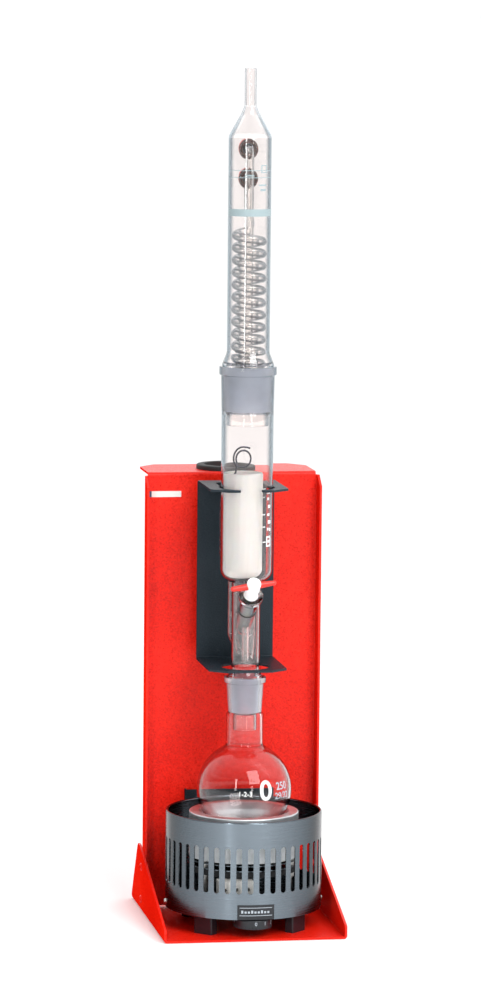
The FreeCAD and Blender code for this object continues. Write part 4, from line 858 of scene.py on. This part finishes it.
for name, mesh, replaced in (
    ("vapour_glass", vapour_mesh(), "vapour_tube"),
    ("siphon_glass", siphon_mesh(), "siphon_tube"),
    ("drain_glass", drain_mesh(), "drain_tube"),
    ("barrel_glass", barrel_mesh(), "stopcock_barrel"),
):
    add_object(name, mesh, [MATS["clear_glass"]], "extractor", (replaced,))

# Print on the chamber: short generic strokes and a small square, right of the thimble.
CHAMBER_PRINT = [
    (-61.7, -53.8, 396.0, 396.9), (-61.7, -56.9, 388.5, 389.4), (-50.6, -37.9, 391.5, 392.6),
    (-49.0, -41.1, 386.0, 388.5), (-45.8, -36.3, 379.0, 381.8), (-48.2, -39.5, 372.0, 374.2),
    (-61.7, -55.3, 373.0, 373.9), (-45.8, -34.7, 365.0, 368.0), (-61.7, -55.3, 362.0, 362.9),
    (-48.2, -43.4, 359.0, 361.5), (-41.1, -34.7, 358.5, 361.0), (-50.6, -34.7, 352.5, 354.0),
    (-50.6, -34.7, 344.5, 346.0), (-50.6, -47.4, 346.0, 352.5), (-37.9, -34.7, 346.0, 352.5),
    (-45.8, -39.5, 348.0, 350.5), (-61.7, -52.2, 348.5, 349.4),
]
add_object("chamber_print", on_cylinder(CHAMBER_PRINT, CHAMBER_R + PRINT_LIFT), [ENAMEL], "extractor")


# ---- Thimble ---------------------------------------------------------------
IN_CHAMBER = Matrix.Translation(AXIS + Vector((THIMBLE_X * MM, 0.0, 0.0)))


def thimble_outline():
    rim_z = THIMBLE_TOP - 1.0
    outer_rise = THIMBLE_TOP - 0.9 - THIMBLE_BEND_Z
    inner_rise = rim_z - THIMBLE_BEND_Z
    outline = [(0.0, 316.1), (4.0, 315.5), (THIMBLE_BEND_R, 315.3)]
    outline += arc(THIMBLE_BEND_R, THIMBLE_BEND_Z, THIMBLE_R - THIMBLE_BEND_R, -78.0, 0.0, 10)
    outline += [(THIMBLE_R, THIMBLE_BEND_Z + outer_rise * i / 24) for i in range(1, 25)]
    outline += arc(THIMBLE_R - 1.0, rim_z, 1.0, 20.0, 160.0, 6)
    outline += [(THIMBLE_INNER_R, rim_z - inner_rise * i / 12) for i in range(1, 13)]
    outline += arc(THIMBLE_BEND_R, THIMBLE_BEND_Z, THIMBLE_INNER_R - THIMBLE_BEND_R, 0.0, -90.0, 8)[1:]
    return outline + [(0.0, 317.6)]


def thimble_mesh():
    """Rolled paper cup: faint flutes, a pleated round bottom and an uneven rim."""
    mesh = lathe_mesh("thimble_paper", thimble_outline(), False, 160, Matrix.Identity(4))
    rng = random.Random(PLEAT_SEED)
    pleats = [(rng.uniform(0, 2 * math.pi), rng.uniform(0.5, 1.0)) for _ in range(PLEATS)]
    for v in mesh.vertices:
        r = math.hypot(v.co.x, v.co.y)
        if r < 1e-6:
            continue
        a = math.atan2(v.co.y, v.co.x)
        z = v.co.z / MM
        flute = 0.07 * math.sin(9 * a + 0.02 * z) + 0.05 * math.sin(23 * a - 0.05 * z)
        flute += 0.05 * math.sin(4 * a + z / 9)
        fold = 0.0
        low = max(0.0, min(1.0, (333.0 - z) / 12.0))
        for at, depth in pleats:
            gap = (a - at + math.pi) % (2 * math.pi) - math.pi
            fold += depth * math.exp(-(gap / 0.05) ** 2)
        change = (flute - 0.15 - 0.55 * low * min(1.0, fold)) * MM
        if r < THIMBLE_INNER_R * MM:
            change *= 0.4
        v.co.x += v.co.x / r * change
        v.co.y += v.co.y / r * change
    mesh.transform(IN_CHAMBER)
    mesh.update()
    return mesh


add_object("thimble_paper", thimble_mesh(), [MATS["cellulose"]], "thimble", ("thimble",))


def wire_mesh():
    """A wire sprung across the cup, with one full turn and an open outer turn above it."""
    points = [
        (WIRE_REACH, WIRE_Y, WIRE_TOP), (WIRE_REACH, WIRE_Y, WIRE_LOW), (-WIRE_REACH, WIRE_Y, WIRE_LOW),
        (-WIRE_REACH, WIRE_Y, WIRE_TOP), (-6.9, WIRE_Y, 409.5), (-6.75, WIRE_Y, 415.0)]
    route = bent(points, WIRE_BEND)[:-1]
    for degrees in range(LOOP_START, LOOP_END, LOOP_STEP):
        share = max(0.0, min(1.0, (degrees - LOOP_OPENS) / LOOP_OPENING))
        half_x = LOOP_HALF[0] + LOOP_GROWTH[0] * share
        half_z = LOOP_HALF[1] + LOOP_GROWTH[1] * share
        a = math.radians(degrees)
        y = WIRE_Y + LOOP_DRIFT * (degrees - LOOP_START)
        route.append(Vector((-half_x * math.cos(a), y, LOOP_Z + half_z * math.sin(a))))
    route += [Vector((3.6, 2.1, LOOP_Z + 10.0)), Vector((6.4, 2.1, LOOP_Z + 9.2))]
    return tube_mesh("thimble_wire_bent", route, WIRE_R, 0.0, 16, IN_CHAMBER)


add_object("thimble_wire_bent", wire_mesh(), [WIRE], "thimble", ("thimble_wire",))


# ---- Condenser -------------------------------------------------------------
def on_condenser_cone(r0, z0, r1, z1):
    """The ground taper on the outside of the condenser's cone."""
    return abs(z1 - z0) > 25.0 and max(z0, z1) < NS45_TOP + 1.0 and min(r0, r1) > 20.2


def condenser_mesh():
    """Outlet, jacket and hollow cone in one, with two short side arms at the back."""
    outline = softened([
        (22.5, NS45_TOP, 0.8), (23.3, NS45_TOP + 1.2, 1.2), (JACKET_R, NS45_TOP + 12.0, 6.0),
        (JACKET_R, SHOULDER + 1.5, 7.0), (8.0, SHOULDER + 21.0, 7.0), (OUTLET_R, SHOULDER + 28.0, 5.0),
        (OUTLET_R, OUTLET_TOP, 0.5), (OUTLET_BORE, OUTLET_TOP, 0.5), (OUTLET_BORE, SHOULDER + 28.0, 4.0),
        (6.8, SHOULDER + 20.2, 6.0), (JACKET_INNER_R, SHOULDER + 1.0, 6.0),
        (JACKET_INNER_R, NS45_TOP + 13.5, 5.0), (20.6, NS45_TOP + 3.5, 2.5), (18.6, NS45_LOW, 0.8),
        (17.3, NS45_LOW - 3.0, 0.8), (17.3, NS45_LOW - 12.5, 0.6), (18.8, NS45_LOW - 12.5, 0.6),
        (18.8, NS45_LOW - 1.5, 1.0), (20.5, NS45_LOW, 0.3)], closed=True)
    parts = [lathe_mesh("condenser_glass", outline, True, 128, frosted=on_condenser_cone)]
    arm = softened([
        (5.0, 17.8), (9.2, 17.8), (7.4, 20.4, 2.4), (ARM_R, 24.0, 1.0), (ARM_R, ARM_END, 0.7),
        (ARM_BORE, ARM_END, 0.7), (ARM_BORE, 20.0, 1.0)], closed=True)
    backwards = Matrix.Rotation(math.radians(-90.0), 4, "X")
    for z in ARM_HEIGHTS:
        matrix = Matrix.Translation(AXIS + Vector((0.0, 0.0, z * MM))) @ ARM_TURN @ backwards
        parts.append(lathe_mesh("arm", arm, True, 64, matrix))
    return join("condenser_glass", parts)


add_object("condenser_glass", condenser_mesh(), [MATS["clear_glass"], GROUND], "condenser",
           ("condenser_jacket",))


def coil_route():
    """From the upper arm down the centre, up around the coil, and out to the lower arm."""
    high, low = ARM_HEIGHTS
    down = bent([
        (0, COIL_ENTRY, high), (0, 0.0, high), (0, 0.0, COIL_LOW - 3.0), (6.0, COIL_R - 2.0, COIL_LOW - 4.0)
    ], COIL_BEND, 10)[:-1]
    turns = []
    for i in range(COIL_STEPS * COIL_TURNS + 1):
        a = math.radians(90.0) - 2 * math.pi * i / COIL_STEPS
        rise = COIL_PITCH * i / COIL_STEPS
        turns.append(Vector((COIL_R * math.cos(a), COIL_R * math.sin(a), COIL_LOW + rise)))
    up = bent([
        (-0.6, COIL_R, COIL_TOP + 0.2), (1.6, COIL_R, COIL_TOP + 6.0), (0, COIL_R, 640.0),
        (0, COIL_R, low), (0, COIL_ENTRY, low)
    ], COIL_BEND, 10)[1:]
    return down, turns, up


def coil_mesh():
    down, turns, up = coil_route()
    matrix = Matrix.Translation(AXIS) @ ARM_TURN
    parts = [
        tube_mesh("down", down, *COIL_DOWN_TUBE, 20, matrix),
        tube_mesh("coil", turns + up, *COIL_TUBE, 20, matrix),
    ]
    return join("coil_glass", parts)


add_object("coil_glass", coil_mesh(), [COIL_GLASS], "condenser", ("condenser_coil",))

# Print on the jacket: a pale band, two hairlines, a small square and short strokes.
JACKET_PRINT = [
    (-175.0, -5.0, 637.2, 643.6), (-175.0, -30.0, 677.2, 677.8), (-175.0, -5.0, 671.0, 671.6),
    (-68.0, -48.0, 681.6, 682.4), (-68.0, -48.0, 675.4, 676.2), (-68.0, -64.6, 676.2, 681.6),
    (-51.0, -48.0, 676.2, 681.6), (-74.0, -50.0, 664.0, 665.4), (-70.0, -52.0, 659.5, 661.5),
    (-112.0, -88.0, 672.6, 673.8),
]
add_object("jacket_print", on_cylinder(JACKET_PRINT, JACKET_R + PRINT_LIFT), [PALE_PRINT], "condenser")


# ---- Heater: control plate print and thumbwheel numerals --------------------
def plate_print():
    """Two rules and a row of generic strokes between them."""
    left = FRONT - PLATE_HALF
    right = FRONT + PLATE_HALF
    patches = [(left, right, 29.6, 30.1), (left, right, 22.7, 23.2)]
    for i in range(PLATE_STROKES):
        start = FRONT - 10.8 + i * STROKE_PITCH
        high = 27.6 if i % 3 == 0 else 26.8
        patches.append((start, start + STROKE_WIDTH, 25.0, high))
    return on_cylinder(patches, SHELL_R + PRINT_LIFT, thickness=0.05)


add_object("plate_print", plate_print(), [WHITE_PRINT], "stand")


def numeral_mesh(text, angle):
    """One numeral wrapped on the thumbwheel's rim."""
    made = text_mesh(text, NUMERAL_SIZE, extrude=0.05)
    radius = KNOB_R + NUMERAL_LIFT
    for v in made.vertices:
        a = angle + v.co.x / radius
        r = radius + v.co.z
        y = KNOB_Y + r * math.sin(a)
        v.co = Vector((r * math.cos(a) * MM, y * MM, (KNOB_MIDDLE + v.co.y) * MM))
    return made


numerals = [numeral_mesh(str(n), math.radians(FRONT + NUMERAL_TURN * n)) for n in range(KNOB_NUMERALS)]
add_object("knob_numerals", join("knob_numerals", numerals), [WHITE_PRINT], "knob")


# ---- Floor, light, camera --------------------------------------------------
FLOOR_RINGS = (0.5, 2.0, 8.0, 30.0, 120.0)      # radii in metres


def floor_object():
    """A round pale floor, finer near the object."""
    s = Shader("studio_floor")
    s.link(s.ramp(s.noise(0.8, 2.0), (0.3, (0.90, 0.90, 0.90)), (0.7, (0.93, 0.93, 0.93))), "Base Color")
    s.set(Roughness=0.9, Specular_IOR_Level=0.1)
    bm = bmesh.new()
    rings = [[bm.verts.new((0.0, 0.0, 0.0))]]
    spokes = 48
    angles = [k * math.pi / (spokes / 2) for k in range(spokes)]
    for radius in FLOOR_RINGS:
        rings.append([bm.verts.new((radius * math.cos(a), radius * math.sin(a), 0.0)) for a in angles])
    for k in range(spokes):
        n = (k + 1) % spokes
        bm.faces.new((rings[0][0], rings[1][k], rings[1][n]))
        for low, high in zip(rings[1:], rings[2:]):
            bm.faces.new((low[k], high[k], high[n], low[n]))
    mesh = bpy.data.meshes.new("studio_floor")
    bm.to_mesh(mesh)
    bm.free()
    mesh.materials.append(s.mat)
    floor = bpy.data.objects.new("studio_floor", mesh)
    scene.collection.objects.link(floor)


floor_object()


BRIGHT_SIDE = (0.42, 0.72, 0.55)        # behind the object, above it and to its right
SKY_STRENGTH = 1.4
KEY_POWER = 75.0                        # watts
FILL_POWER = 22.0


def studio_world():
    """Soft light from all around: white on the bright side and dim behind the camera."""
    world = bpy.data.worlds.new("studio")
    scene.world = world
    world.use_nodes = True
    tree = world.node_tree
    where = tree.nodes.new("ShaderNodeTexCoord")
    towards = tree.nodes.new("ShaderNodeVectorMath")
    towards.operation = "DOT_PRODUCT"
    towards.inputs[1].default_value = BRIGHT_SIDE
    tree.links.new(where.outputs["Generated"], towards.inputs[0])
    remap = tree.nodes.new("ShaderNodeMapRange")
    remap.inputs["From Min"].default_value = -1.0
    remap.inputs["From Max"].default_value = 1.0
    tree.links.new(towards.outputs["Value"], remap.inputs["Value"])
    ramp = tree.nodes.new("ShaderNodeValToRGB")
    tree.links.new(remap.outputs["Result"], ramp.inputs["Fac"])
    dim, bright = ramp.color_ramp.elements
    dim.position = 0.22
    dim.color = (0.10, 0.105, 0.11, 1.0)
    bright.position = 0.74
    bright.color = (1.0, 1.0, 1.0, 1.0)
    background = tree.nodes["Background"]
    tree.links.new(ramp.outputs["Color"], background.inputs["Color"])
    background.inputs["Strength"].default_value = SKY_STRENGTH


def area_light(name, place, target, size, power):
    """A white panel; place and target in metres, size as width and height, power in watts."""
    light = bpy.data.lights.new(name, "AREA")
    light.shape = "RECTANGLE"
    light.size, light.size_y = size
    light.energy = power
    obj = bpy.data.objects.new(name, light)
    obj.location = place
    obj.rotation_euler = (Vector(target) - Vector(place)).to_track_quat("-Z", "Y").to_euler()
    scene.collection.objects.link(obj)


studio_world()
area_light("key", (0.80, -2.45, 2.05), (0.0, 0.0, 0.35), (1.5, 1.9), KEY_POWER)
area_light("front_fill", (-1.5, -2.6, 1.1), (0.0, 0.0, 0.30), (0.30, 1.6), FILL_POWER)

CAMERA_AZIMUTH = math.radians(9.64)     # of the camera's place, left of the front
CAMERA_DISTANCE = 4.0                   # metres from the axis
CAMERA_HEIGHT = 0.8437
CAMERA_YAW = math.radians(9.56)
CAMERA_PITCH = math.radians(-6.55)
CAMERA_ROLL = math.radians(0.54)
CAMERA_LENS = 338.95
CAMERA_REACH = 400.0


def place_camera():
    """A long lens in front and slightly left of the object, looking a little down."""
    level = math.cos(CAMERA_PITCH)
    forward = Vector((math.sin(CAMERA_YAW) * level, math.cos(CAMERA_YAW) * level, math.sin(CAMERA_PITCH)))
    right = Vector((math.cos(CAMERA_YAW), -math.sin(CAMERA_YAW), 0.0))
    up = right.cross(forward)
    tilted_right = right * math.cos(CAMERA_ROLL) + up * math.sin(CAMERA_ROLL)
    tilted_up = up * math.cos(CAMERA_ROLL) - right * math.sin(CAMERA_ROLL)
    data = bpy.data.cameras.new("camera")
    data.sensor_fit = "HORIZONTAL"
    data.sensor_width = 36.0
    data.lens = CAMERA_LENS
    data.clip_end = CAMERA_REACH
    camera = bpy.data.objects.new("camera", data)
    eye = AXIS - Vector((math.sin(CAMERA_AZIMUTH), math.cos(CAMERA_AZIMUTH), 0.0)) * CAMERA_DISTANCE
    eye.z = CAMERA_HEIGHT
    rotation = Matrix((tilted_right, tilted_up, -forward)).transposed()
    camera.matrix_world = Matrix.Translation(eye) @ rotation.to_4x4()
    scene.collection.objects.link(camera)
    scene.camera = camera


place_camera()
scene.view_settings.view_transform = "Standard"

# Clear glass behind glass needs many bounces.
GLASS_BOUNCES = 28
scene.cycles.max_bounces = GLASS_BOUNCES
scene.cycles.transmission_bounces = GLASS_BOUNCES
scene.cycles.transparent_max_bounces = 16
